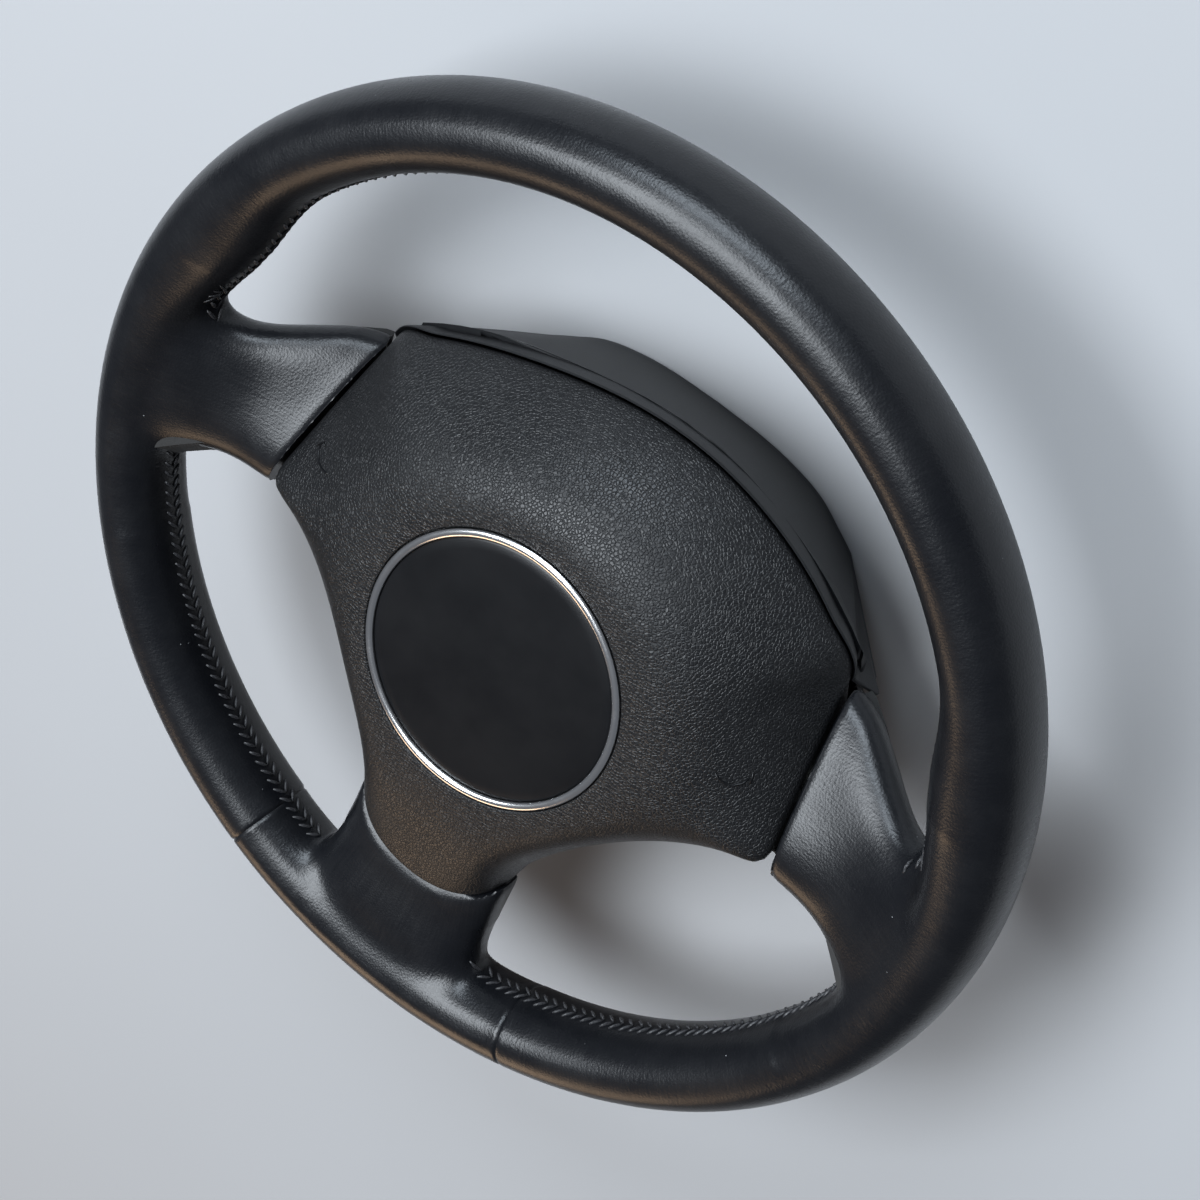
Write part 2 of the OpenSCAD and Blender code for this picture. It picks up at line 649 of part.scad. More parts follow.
module shroud_screws() {
    color([0.45, 0.45, 0.48]) for (p = screw_at) translate([p[0], p[1], screw_head_z]) difference() {
        union() {
            translate([0, 0, -3]) cylinder(r = 4, h = 3);
            translate([0, 0, -eps]) cylinder(d = screw_d, h = hub_z + hub_t - screw_head_z + 1);
        }
        translate([0, 0, -4]) cylinder(r = 1.8, h = 2.5, $fn = 6);
    }
}

// Pressed plate on the hub with three sprung fingers that carry the horn contacts
finger_ring = stud_r - 3.5;
finger_at = [for (a = [90, 210, 330]) finger_ring * [cos(a), sin(a)]];
button_low = plate_z - flange_t - 1.5;
finger_top = button_low - horn_travel - slip;
module horn_contact_plate() {
    color([0.75, 0.6, 0.3]) difference() {
        union() {
            translate([0, 0, pad_top]) linear_extrude(1) union() {
                difference() {
                    circle(finger_ring + 3.5);
                    circle(boss_r + 5);
                }
                for (p = pin_at) translate(p) circle(pad_r - 1);
                for (p = pin_at) rotate([0, 0, atan2(p[1], p[0])])
                    translate([finger_ring, -4]) square([pin_ring - finger_ring, 8]);
            }
            for (p = finger_at) translate([p[0], p[1], pad_top + 0.5]) {
                cylinder(r = 3, h = finger_top - pad_top - 1.5);
                cylinder(r = 2, h = finger_top - pad_top - 0.5);
            }
        }
        for (p = pin_at) translate([p[0], p[1], 0]) cylinder(d = pin_d + 4 + play, h = 2 * hub_z);
    }
}
module contact_buttons() {
    color([0.8, 0.78, 0.7]) for (p = finger_at) translate([p[0], p[1], button_low]) {
        cylinder(r = 2.5, h = plate_z - flange_t - button_low);
    }
}

// Flanged plastic bushes in the pads of the hub plate
module guide_bushes() {
    color([0.85, 0.83, 0.75]) for (p = pin_at) translate([p[0], p[1], 0]) difference() {
        union() {
            translate([0, 0, hub_z]) cylinder(d = pin_d + 4, h = hub_t + 1);
            translate([0, 0, pad_top + 1]) cylinder(d = pin_d + 9, h = 1.5);
        }
        translate([0, 0, hub_z - 1]) cylinder(d = pin_d + 2 * play, h = hub_t + 6);
    }
}
seat_top = pad_top + 2.5;

// Guide pins: riveted to the housing plate, grooved for the latch wires
wire_d = 1.8;
wire_z = hub_z - slip - wire_d / 2;
groove_low = wire_z - wire_d / 2 - 0.1;
groove_top = wire_z + wire_d / 2 + horn_travel + slip;
pin_r = pin_d / 2;
spring_top = plate_z - 1.5;
module guide_pins() {
    color([0.6, 0.6, 0.62]) for (p = pin_at) translate([p[0], p[1], 0]) rotate_extrude()
        polygon([[0, groove_low - 5], [pin_r - 1.5, groove_low - 5], [pin_r, groove_low - 3],
            [pin_r, groove_low], [pin_r - 1.1, groove_low], [pin_r - 1.1, groove_top],
            [pin_r, groove_top + 0.8], [pin_r, spring_top], [pin_r + 2, spring_top], [pin_r + 2, plate_z],
            [pin_r - 0.5, plate_z], [pin_r - 0.5, plate_z + plate_t], [pin_r + 1, plate_z + plate_t],
            [pin_r, plate_z + plate_t + 1], [0, plate_z + plate_t + 1]]);
}
// Latch wires: a hairpin beside each pin, its legs in the groove
module latch_wires() {
    leg = pin_r - 1.1 + wire_d / 2 + 0.05;
    color([0.55, 0.55, 0.58]) for (p = pin_at) translate([p[0], p[1], wire_z])
        rotate([0, 0, atan2(p[1], p[0])]) {
            for (s = [-1, 1]) translate([-14, s * leg, 0]) rotate([0, 90, 0]) cylinder(d = wire_d, h = 22);
            translate([-14, 0, 0]) rotate([0, 0, 90]) rotate_extrude(angle = 180)
                translate([leg, 0]) circle(d = wire_d);
        }
}

// Horn springs round the pins, between the bush flanges and the housing plate
spring_r = pin_r + 1.9;
function coil_point(t, a) = let(r = spring_r + spring_wire / 2 * cos(a), turn = 360 * spring_turns * t,
    rise = (spring_top - seat_top - spring_wire) * t)
    [r * cos(turn), r * sin(turn), seat_top + rise + spring_wire / 2 * (1 + sin(a))];
module horn_springs() {
    steps = round(spring_turns * 9);
    wire = [for (i = [0:steps]) [for (a = [315:-90:45]) coil_point(i / steps, a)]];
    color([0.7, 0.7, 0.72]) for (p = pin_at) translate([p[0], p[1], 0]) skin(wire, coil_mid(0), coil_mid(1));
}
function coil_mid(t) = (coil_point(t, 0) + coil_point(t, 180)) / 2;

// Pressed housing of the airbag module: floor with the inflator's opening and a wall riveted to the cover
module module_housing() {
    color([0.5, 0.52, 0.55]) difference() {
        union() {
            translate([0, 0, plate_z]) linear_extrude(plate_t) housing_plan(plate_t);
            translate([0, 0, plate_z]) linear_extrude(wall_h) difference() {
                housing_plan(plate_t);
                housing_plan(0);
            }
        }
        translate([0, 0, plate_z - 1]) cylinder(r = inflator_r + play, h = 4);
        for (a = [45:90:315]) rotate([0, 0, a]) translate([stud_r, 0, plate_z - 1]) cylinder(d = 5.2, h = 4);
        for (p = pin_at) translate([p[0], p[1], plate_z - 1]) cylinder(r = pin_d / 2 - 0.5, h = 4);
        for (r = rivet_wall) translate([r[0], r[1], rivet_z]) rotate([0, 0, r[2]]) rotate([0, 90, 0])
            translate([0, 0, -1]) cylinder(r = 2, h = 4);
    }
}
module cover_rivets() {
    color([0.7, 0.7, 0.72]) for (r = rivet_wall) translate([r[0], r[1], rivet_z]) rotate([0, 0, r[2]])
        rotate([0, 90, 0]) {
            cylinder(r = 2, h = plate_t + rib_t + 2);
            translate([0, 0, -1.2]) cylinder(r = 3.4, h = 1.2);
            translate([0, 0, plate_t + rib_t + 1.5]) cylinder(r = 3.2, h = 1.4);
        }
}

// Disc inflator: lower can, mounting flange, upper can with gas ports
module inflator() {
    color([0.72, 0.72, 0.7]) difference() {
        rotate_extrude() polygon([[0, can_floor], [inflator_r - 4, can_floor], [inflator_r, can_floor + 3],
            [inflator_r, plate_z - flange_t], [stud_r + 6, plate_z - flange_t], [stud_r + 6, plate_z],
            [inflator_r, plate_z], [inflator_r, can_top - 5], [inflator_r - 5, can_top], [0, can_top]]);
        for (a = [45:90:315]) rotate([0, 0, a]) translate([stud_r, 0, plate_z - flange_t - 1])
            cylinder(d = 5.2, h = 4);
        for (a = [0:30:330]) rotate([0, 0, a]) translate([inflator_r - 2, 0, plate_z + 11])
            rotate([0, 90, 0]) cylinder(d = 3.5, h = 4);
        for (p = [[14, 0], [-14, 0]]) translate([p[0], p[1], can_floor - 1]) cylinder(r = 5, h = 4);
    }
}
// Two keyed plastic sockets for the igniter plugs
module squib_sockets() {
    color([0.9, 0.75, 0.1]) for (s = [-1, 1]) translate([s * 14, 0, can_floor - 1]) difference() {
        union() {
            cylinder(r = 4.8, h = 4);
            cylinder(r = 6.5, h = 1);
        }
        translate([0, 0, -1]) cylinder(r = 3, h = 4);
        translate([-1, 0, -1]) cube([2, 4.2, 3]);
    }
}
// Ring that clamps the bag's mouth, with its four studs
module retainer_ring() {
    color([0.66, 0.67, 0.7]) {
        translate([0, 0, plate_z + plate_t]) difference() {
            cylinder(r = stud_r + 5, h = 1.5);
            translate([0, 0, -1]) cylinder(r = inflator_r + 1, h = 4);
            for (p = pin_at) translate([p[0], p[1], -1]) cylinder(r = pin_d / 2 + 2, h = 4);
        }
        for (a = [45:90:315]) rotate([0, 0, a]) translate([stud_r, 0, plate_z - 9])
            cylinder(d = 5, h = 9 + plate_t + eps);
    }
}
module module_nuts() {
    color([0.6, 0.6, 0.6]) for (a = [45:90:315]) rotate([0, 0, a])
        translate([stud_r, 0, plate_z - flange_t - 4]) difference() {
            union() {
                cylinder(r = 4.6, h = 4, $fn = 6);
                translate([0, 0, 3]) cylinder(r = 5.5, h = 1);
            }
            translate([0, 0, -1]) cylinder(d = 5.2, h = 6);
        }
}
// Folded bag: a rounded block over the inflator
module bag_pack() {
    base = plate_z + plate_t + 1.5 + slip;
    color([0.9, 0.9, 0.88]) difference() {
        hull() {
            translate([0, 0, base]) linear_extrude(13) housing_plan(-3);
            translate([0, 0, base]) linear_extrude(20) housing_plan(-9);
        }
        translate([0, 0, base - 1]) cylinder(r = inflator_r + 1, h = can_top - base + 1 + slip);
    }
}

armature();
hub_bush();
rim_foam();
leather_upper();
leather_lower();
rear_shroud();
shroud_screws();
horn_contact_plate();
guide_bushes();
latch_wires();
airbag_cover();
badge_disc();
badge_ring();
module_housing();
cover_rivets();
inflator();
squib_sockets();
retainer_ring();
module_nuts();
bag_pack();
guide_pins();
contact_buttons();
horn_springs();
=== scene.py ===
import math
import random
import bmesh
import bpy
from mathutils import Matrix, Vector
from mathutils.bvhtree import BVHTree


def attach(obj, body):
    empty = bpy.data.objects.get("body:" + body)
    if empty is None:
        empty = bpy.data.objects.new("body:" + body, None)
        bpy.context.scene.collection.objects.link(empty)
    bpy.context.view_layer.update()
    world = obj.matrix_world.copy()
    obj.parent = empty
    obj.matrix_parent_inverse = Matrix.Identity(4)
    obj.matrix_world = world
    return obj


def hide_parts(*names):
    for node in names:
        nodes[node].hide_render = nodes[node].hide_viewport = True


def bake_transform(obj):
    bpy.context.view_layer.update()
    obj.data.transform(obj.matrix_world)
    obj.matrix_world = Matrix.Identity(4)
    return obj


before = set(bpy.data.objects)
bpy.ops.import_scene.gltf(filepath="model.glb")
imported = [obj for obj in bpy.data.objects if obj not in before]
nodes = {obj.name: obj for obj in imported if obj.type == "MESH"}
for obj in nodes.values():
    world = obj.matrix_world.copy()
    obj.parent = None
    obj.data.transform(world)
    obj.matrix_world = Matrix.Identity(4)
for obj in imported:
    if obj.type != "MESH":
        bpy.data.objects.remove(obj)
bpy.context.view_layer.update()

MM = 0.001
scene = bpy.context.scene

# Sizes that the wheel's pieces share, in millimetres and degrees
# Rim: height and radius of its middle line, half width and half thickness of its section
RIM_Z = 85.0
RIM_R = 173.0
RIM_W = 14.5
RIM_T = 18.5
# Thumb grips: how far they stand in, their angle and half their span
GRIP_H = 5.5
GRIP_A = 21.5
GRIP_SPAN = 16.0
# Badge: its place below the column's axis, height over the rim's middle, tilt, ring and depth of its recess
BADGE_Y = 12.5
CROWN = 14.5
TILT = 5.0
RING_R = 51.3
RING_W = 3.0
RECESS = 2.6
# Cross seams of the leather: angle from the foot, how deep they draw in and over what width
SEAM_A = 22.0
SEAM_DEPTH = 0.55
SEAM_REACH = 1.2

# Outline of the cover in plan, right half, and the heights of its edge over the middle of the rim
TOP_Y, TOP_ARC, TOP_X = 85.0, 145.0, 85.0
CORNER, SIDE = (99.0, 43.0), (112.0, -19.0)
WAIST = ((77.0, -25.0), (36.6, -83.0))
FOOT, FOOT_Y = (33.6, -108.0), -125.0
TOP_E, CORNER_E, SIDE_E, FLANK_E, FOOT_E = -26.0, -30.0, 0.0, -8.0, 8.0
SKIRT_Z, SKIRT_TOP, SKIRT_FOOT, SKIRT_LIP = 48.6, 54.5, 63.5, 11.0
EDGE_DIP = 4.4
COVER_T = 2.8
# Gap round the cover, and what is added to it beside the left and the right spoke
GAP = 1.2
GAP_LEFT, GAP_RIGHT = -0.3, 0.9

# Plane that trims the side spokes along the shroud: its place and how far it leans
TRIM_X, TRIM_Z, TRIM_LEAN = 101.2, 55.0, math.radians(24)

# Skin of the leather: size of its mesh, finely and in quick work
SKIN_MESH, SKIN_MESH_QUICK = 1.6, 2.0

# Lacing along the rim's inner wall: pairs of stitches, radius of the thread, height over the rim's middle
LACING_PAIRS, LACING_R, SEAM_Z = 236, 0.66, -1.0


# Small helpers
def mix(a, b, t):
    return a + (b - a) * t


def smooth(t):
    t = max(0.0, min(1.0, t))
    return t * t * (3 - 2 * t)


def bump(t):
    return math.cos(math.pi / 2 * t) ** 2 if abs(t) < 1 else 0.0


def bezier(p, t):
    s = 1 - t
    return (Vector(p[0]) * s ** 3 + Vector(p[1]) * 3 * s * s * t + Vector(p[2]) * 3 * s * t * t
            + Vector(p[3]) * t ** 3)


def between(keys, t):
    """Catmull-Rom value through a row of keys, t from 0 to len(keys) - 1."""
    i = min(len(keys) - 2, int(t))
    f = t - i
    a, b, c, d = (keys[max(0, min(len(keys) - 1, i + k))] for k in (-1, 0, 1, 2))
    return [0.5 * (2 * q + (r - p) * f + (2 * p - 5 * q + 4 * r - s) * f * f + (3 * q - p - 3 * r + s) * f ** 3)
            for p, q, r, s in zip(a, b, c, d)]


def oval(n, power, w, h):
    """A rounded section as n points, w and h being half its width and height."""
    pts = []
    for i in range(n):
        c, s = math.cos(2 * math.pi * i / n), math.sin(2 * math.pi * i / n)
        pts.append((w * math.copysign(abs(c) ** (2 / power), c), h * math.copysign(abs(s) ** (2 / power), s)))
    return pts


# Shader wrapper
class Socket:
    """One output of a shader node; operators add the Math nodes."""

    def __init__(self, tree, out):
        self.tree, self.out = tree, out

    def _math(self, op, *values):
        return self.tree.node("ShaderNodeMath", {"operation": op}, *values)

    def __add__(self, o):
        return self._math("ADD", self, o)

    def __radd__(self, o):
        return self._math("ADD", o, self)

    def __sub__(self, o):
        return self._math("SUBTRACT", self, o)

    def __rsub__(self, o):
        return self._math("SUBTRACT", o, self)

    def __mul__(self, o):
        return self._math("MULTIPLY", self, o)

    def __rmul__(self, o):
        return self._math("MULTIPLY", o, self)

    def __pow__(self, o):
        return self._math("POWER", self, o)

    def __lt__(self, o):
        return self._math("LESS_THAN", self, o)

    def call(self, op, *values):
        return self._math(op, self, *values)

    def step(self, low, high):
        """0 below low, 1 above high, smooth between."""
        return self.tree.node("ShaderNodeMapRange", {"interpolation_type": "SMOOTHSTEP", "clamp": True},
                              Value=self, **{"From Min": low, "From Max": high})


class Shader:
    """A material under construction."""

    def __init__(self, name):
        self.mat = bpy.data.materials.new(name)
        self.mat.use_nodes = True
        self.nodes = self.mat.node_tree.nodes
        self.links = self.mat.node_tree.links
        self.bsdf = self.nodes["Principled BSDF"]

    def node(self, kind, settings=None, *values, out=0, **named):
        n = self.nodes.new(kind)
        for k, v in (settings or {}).items():
            setattr(n, k, v)
        pairs = list(zip([i for i in n.inputs if i.enabled], values)) + [(n.inputs[k], v) for k, v in named.items()]
        for socket, value in pairs:
            if isinstance(value, Socket):
                self.links.new(value.out, socket)
            else:
                socket.default_value = value
        return Socket(self, n.outputs[out])

    def place(self):
        return self.node("ShaderNodeTexCoord", out=3)

    def noise(self, vector, scale, detail=3.0, rough=0.5):
        return self.node("ShaderNodeTexNoise", None, Vector=vector, Scale=scale, Detail=detail, Roughness=rough)

    def voronoi(self, vector, scale, feature="F1"):
        return self.node("ShaderNodeTexVoronoi", {"feature": feature}, Vector=vector, Scale=scale)

    def split(self, vector):
        n = self.nodes.new("ShaderNodeSeparateXYZ")
        self.links.new(vector.out, n.inputs[0])
        return [Socket(self, o) for o in n.outputs]

    def join(self, x, y, z):
        return self.node("ShaderNodeCombineXYZ", None, x, y, z)

    def blend(self, factor, a, b):
        n = self.nodes.new("ShaderNodeMix")
        n.data_type = "RGBA"
        for socket, value in ((n.inputs[0], factor), (n.inputs[6], a), (n.inputs[7], b)):
            if isinstance(value, Socket):
                self.links.new(value.out, socket)
            else:
                socket.default_value = value if socket is n.inputs[0] else (*value, 1.0)
        return Socket(self, n.outputs[2])

    def put(self, name, value):
        socket = self.bsdf.inputs[name]
        if isinstance(value, Socket):
            self.links.new(value.out, socket)
        else:
            socket.default_value = value

    def relief(self, height, distance, strength=1.0, below=None):
        n = self.nodes.new("ShaderNodeBump")
        n.inputs["Distance"].default_value = distance
        n.inputs["Strength"].default_value = strength
        self.links.new(height.out, n.inputs["Height"])
        if below is not None:
            self.links.new(below.out, n.inputs["Normal"])
        return Socket(self, n.outputs[0])


def leather_finish():
    """Smooth black nappa: pores, fine creases round the rim, polish, dust."""
    s = Shader("black_leather")
    p = s.place()
    x, y, z = s.split(p)
    radius = (x * x + y * y) ** 0.5
    along = y.call("ARCTAN2", x) * (RIM_R * MM)
    # Direction round the rim's section, so that creases run across the rim
    across = (z - RIM_Z * MM).call("ARCTAN2", radius - RIM_R * MM) * 0.016
    wrap = s.join(along * 900.0, across * 190.0, 0.0)
    crease = s.noise(wrap, 1.0, 4.0, 0.6)
    fine = s.noise(p, 900.0, 5.0, 0.62)
    pores = s.voronoi(p, 1150.0)
    broad = s.noise(p, 26.0, 3.0, 0.55)
    patch = s.noise(p, 70.0, 4.0, 0.6)
    polish = broad.step(0.35, 0.7)
    speck = (s.voronoi(p, 210.0) < 0.045) * s.noise(p, 60.0, 2.0).step(0.62, 0.7)
    tone = s.blend(patch.step(0.3, 0.75), (0.0035, 0.0040, 0.0055), (0.0065, 0.0070, 0.0085))
    tone = s.blend(crease.step(0.6, 0.8) * 0.25, tone, (0.016, 0.0165, 0.018))
    tone = s.blend(speck * 0.75, tone, (0.35, 0.36, 0.37))
    s.put("Base Color", tone)
    s.put("Roughness", 0.29 + 0.07 * polish + 0.10 * (fine - 0.5) + 0.14 * (crease - 0.5) + speck * 0.3)
    s.put("Specular IOR Level", 0.42)
    first = s.relief(crease, 0.00011, 0.55)
    second = s.relief(pores, 0.00012, 0.35, first)
    s.put("Normal", s.relief(patch, 0.0005, 0.25, second))
    return s.mat


def cover_finish():
    """Moulded skin of the airbag cover: pebble grain with painted shade darkening its valleys, and a few dust
    marks.
    """
    s = Shader("cover_skin")
    p = s.place()
    edges = s.voronoi(s.node("ShaderNodeVectorMath", {"operation": "ADD"}, p,
                             s.join(s.noise(p, 300.0, 2.0) * 0.0011, s.noise(p, 260.0, 2.0) * 0.0011, 0.0)),
                      820.0, "DISTANCE_TO_EDGE")
    valley = edges.step(0.0, 0.22)
    small = s.noise(p, 1500.0, 3.0, 0.6)
    mottle = s.noise(p, 40.0, 4.0, 0.6)
    dust = (s.voronoi(p, 160.0) < 0.03) * s.noise(p, 45.0, 2.0).step(0.58, 0.66)
    tone = s.blend(mottle.step(0.3, 0.7), (0.0060, 0.0064, 0.0074), (0.0090, 0.0094, 0.0104))
    # Painted shade: the colour is darkened towards the valleys between the pebbles.
    tone = s.blend((1.0 - valley) * 0.6, tone, (0.0025, 0.0026, 0.0030))
    tone = s.blend(dust * 0.7, tone, (0.3, 0.3, 0.3))
    s.put("Base Color", tone)
    s.put("Roughness", 0.37 + 0.10 * (mottle - 0.5) + 0.12 * (1.0 - valley))
    s.put("Specular IOR Level", 0.40)
    s.put("Normal", s.relief(valley + small * 0.25, 0.0002, 0.7))
    return s.mat


def plastic_finish(name, tone, rough=0.46, grain=1400.0, depth=0.00008, spread=0.004):
    """Satin moulded plastic with a fine spark-eroded grain and a few dust marks."""
    s = Shader(name)
    p = s.place()
    fine = s.noise(p, grain, 4.0, 0.6)
    mottle = s.noise(p, 30.0, 4.0, 0.6)
    dust = (s.voronoi(p, 150.0) < 0.03) * s.noise(p, 45.0, 2.0).step(0.6, 0.68)
    light = tuple(c + spread for c in tone)
    col = s.blend(mottle.step(0.3, 0.7), tone, light)
    s.put("Base Color", s.blend(dust * 0.6, col, (0.3, 0.3, 0.3)))
    s.put("Roughness", rough + 0.10 * (mottle - 0.5) + 0.08 * (fine - 0.5) + dust * 0.2)
    s.put("Specular IOR Level", 0.3)
    s.put("Normal", s.relief(fine, depth, 0.5))
    return s.mat


def metal_finish(name, tone, rough=0.3, brush=(1.0, 1.0, 1.0), scale=500.0, cast=0.0):
    """Metal with fine machining or casting marks and slight staining."""
    s = Shader(name)
    p = s.place()
    lines = s.noise(s.node("ShaderNodeMapping", None, Vector=p, Scale=brush), scale, 3.0, 0.6)
    stain = s.noise(p, 55.0, 4.0, 0.65)
    dark = tuple(c * 0.72 for c in tone)
    s.put("Base Color", s.blend(stain.step(0.35, 0.75), tone, dark))
    s.put("Metallic", 1.0)
    s.put("Roughness", rough + 0.18 * (stain - 0.5) + 0.10 * (lines - 0.5))
    s.put("Normal", s.relief(lines, 0.00006 + cast, 0.4))
    return s.mat


def chrome_finish():
    """Bright chrome plate, slightly hazed, with fine hairlines."""
    s = Shader("bright_chrome")
    p = s.place()
    haze = s.noise(p, 90.0, 4.0, 0.6)
    hair = s.noise(p, 1800.0, 2.0, 0.5)
    s.put("Base Color", s.blend(haze.step(0.4, 0.8), (0.95, 0.95, 0.95), (0.88, 0.88, 0.88)))
    s.put("Metallic", 1.0)
    s.put("Roughness", 0.19 + 0.08 * haze.step(0.45, 0.8) + 0.05 * (hair - 0.5))
    s.put("Normal", s.relief(hair, 0.00001, 0.3))
    return s.mat


def cloth_finish(name, tone):
    """Woven bag fabric: two sets of threads crossing."""
    s = Shader(name)
    p = s.place()
    x, y, z = s.split(p)
    warp = ((x + z * 0.3) * 5200.0).call("SINE")
    weft = ((y + z * 0.3) * 5200.0).call("SINE")
    weave = warp.call("MAXIMUM", weft)
    soil = s.noise(p, 40.0, 4.0, 0.6)
    dark = tuple(c * 0.8 for c in tone)
    s.put("Base Color", s.blend(weave.step(-0.2, 0.9), dark, tone))
    s.put("Roughness", 0.82 + 0.12 * (soil - 0.5))
    s.put("Normal", s.relief(weave + soil * 2.0, 0.0003, 0.6))
    return s.mat


def thread_finish():
    """Bonded polyester thread, twisted, black with a dull shine."""
    s = Shader("black_thread")
    p = s.place()
    x, y, z = s.split(p)
    twist = ((x + y * 0.7 + z * 1.3) * 9000.0).call("SINE")
    fuzz = s.noise(p, 1500.0, 3.0, 0.6)
    s.put("Base Color", s.blend(fuzz.step(0.3, 0.7), (0.010, 0.010, 0.012), (0.035, 0.035, 0.038)))
    s.put("Roughness", 0.42 + 0.15 * (fuzz - 0.5))
    s.put("Normal", s.relief(twist, 0.00008, 0.6))
    return s.mat


leather = leather_finish()
cover_skin = cover_finish()
shroud_plastic = plastic_finish("shroud_satin", (0.0065, 0.0070, 0.0082), 0.5)
disc_plastic = plastic_finish("badge_satin_black", (0.0040, 0.0042, 0.0050), 0.30, 2200.0, 0.00003, 0.002)
chrome = chrome_finish()
thread = thread_finish()
CAD_FINISH = {
    "armature": metal_finish("cast_magnesium", (0.42, 0.42, 0.40), 0.55, scale=900.0, cast=0.0001),
    "hub_bush": metal_finish("turned_steel", (0.52, 0.51, 0.50), 0.28, (1.0, 1.0, 8.0)),
    "rim_foam": plastic_finish("moulded_foam", (0.03, 0.03, 0.03), 0.8, 700.0, 0.0003),
    "shroud_screws": metal_finish("zinc_plate", (0.56, 0.56, 0.55), 0.33),
    "horn_contact_plate": metal_finish("plated_sheet", (0.62, 0.57, 0.45), 0.3, (1.0, 12.0, 1.0)),
    "guide_bushes": plastic_finish("natural_acetal", (0.72, 0.70, 0.62), 0.4, 900.0, 0.00005, 0.03),
    "latch_wires": metal_finish("spring_wire", (0.45, 0.45, 0.46), 0.25),
    "module_housing": metal_finish("pressed_housing", (0.30, 0.31, 0.32), 0.4, (1.0, 1.0, 10.0)),
    "cover_rivets": metal_finish("rivet_aluminium", (0.68, 0.68, 0.69), 0.3),
    "inflator": metal_finish("drawn_can", (0.60, 0.60, 0.59), 0.3, (1.0, 1.0, 14.0)),
    "squib_sockets": plastic_finish("socket_yellow", (0.72, 0.48, 0.04), 0.42, 900.0, 0.00005, 0.03),
    "retainer_ring": metal_finish("retainer_steel", (0.55, 0.55, 0.55), 0.35),
    "module_nuts": metal_finish("nut_zinc", (0.58, 0.57, 0.54), 0.3),
    "bag_pack": cloth_finish("bag_fabric", (0.74, 0.74, 0.70)),
    "guide_pins": metal_finish("pin_steel", (0.55, 0.55, 0.56), 0.2, (1.0, 1.0, 12.0)),
    "contact_buttons": metal_finish("contact_silver", (0.75, 0.74, 0.70), 0.2),
    "horn_springs": metal_finish("spring_steel", (0.48, 0.48, 0.50), 0.25),
    "badge_disc": disc_plastic,
    "badge_ring": chrome,
    "airbag_cover": cover_skin,
    "rear_shroud": shroud_plastic,
    "leather_upper": leather,
    "leather_lower": leather,
}
for name, mat in CAD_FINISH.items():
    nodes[name].data.materials.clear()
    nodes[name].data.materials.append(mat)


# Mesh helpers
def as_mesh(name, bm):
    """Mesh data with the working form's shape; the working form is let go."""
    mesh = bpy.data.meshes.new(name)
    bm.to_mesh(mesh)
    bm.free()
    return mesh


def relax(bm, verts, rounds):
    """Draws the surface tight, a little in each round."""
    for _ in range(rounds):
        bmesh.ops.smooth_vert(bm, verts=verts, factor=0.5, use_axis_x=True, use_axis_y=True, use_axis_z=True)


def finish_piece(name, bm, mat, body, merge=0.00002, flat=None, ride=True):
    """Merges doubles, turns faces outwards, makes an object of the mesh and, when it rides, attaches it to its
    body.
    """
    if merge:
        bmesh.ops.remove_doubles(bm, verts=bm.verts, dist=merge)
    bmesh.ops.recalc_face_normals(bm, faces=bm.faces)
    mesh = as_mesh(name, bm)
    for f in mesh.polygons:
        f.use_smooth = True
    if flat:
        mesh.set_sharp_from_angle(angle=math.radians(flat))
    mesh.materials.append(mat)
    obj = bpy.data.objects.new(name, mesh)
    scene.collection.objects.link(obj)
    if ride:
        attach(obj, body)
    return obj


def loft(rings, bm=None):
    """A circle is extruded from ring to ring and closed at both ends; a ring is a list of places in millimetres."""
    bm = bm or bmesh.new()
    seat = bm.verts.layers.int.get("seat") or bm.verts.layers.int.new("seat")
    n = len(rings[0])
    verts = bmesh.ops.create_circle(bm, segments=n, radius=1.0)["verts"]
    for i, v in enumerate(verts):
        v[seat] = i
        v.co = Vector(rings[0][i]) * MM
    edges = list({e for v in verts for e in v.link_edges})
    ends = [edges]
    for places in rings[1:]:
        made = bmesh.ops.extrude_edge_only(bm, edges=edges)["geom"]
        new = {g for g in made if isinstance(g, bmesh.types.BMVert)}
        for v in new:
            v.co = Vector(places[v[seat]]) * MM
        edges = [g for g in made if isinstance(g, bmesh.types.BMEdge) and g.verts[0] in new and g.verts[1] in new]
    ends.append(edges)
    for edge_ring in ends:
        bmesh.ops.edgeloop_fill(bm, edges=edge_ring)
    return bm


def solid_copy(bm, voxel, rounds):
    """Union of overlapping closed shells, as one even skin."""
    rough = bpy.data.objects.new("rough", as_mesh("rough", bm))
    scene.collection.objects.link(rough)
    mod = rough.modifiers.new("even", "REMESH")
    mod.mode = "VOXEL"
    mod.voxel_size = voxel * MM
    mod.adaptivity = 0.0
    graph = bpy.context.evaluated_depsgraph_get()
    made = bpy.data.meshes.new_from_object(rough.evaluated_get(graph))
    bpy.data.objects.remove(rough)
    out = bmesh.new()
    out.from_mesh(made)
    relax(out, out.verts, rounds)
    return out


# Outline of the airbag cover
def top_arc(x):
    return (x, TOP_Y - TOP_ARC + math.sqrt(TOP_ARC ** 2 - x * x))


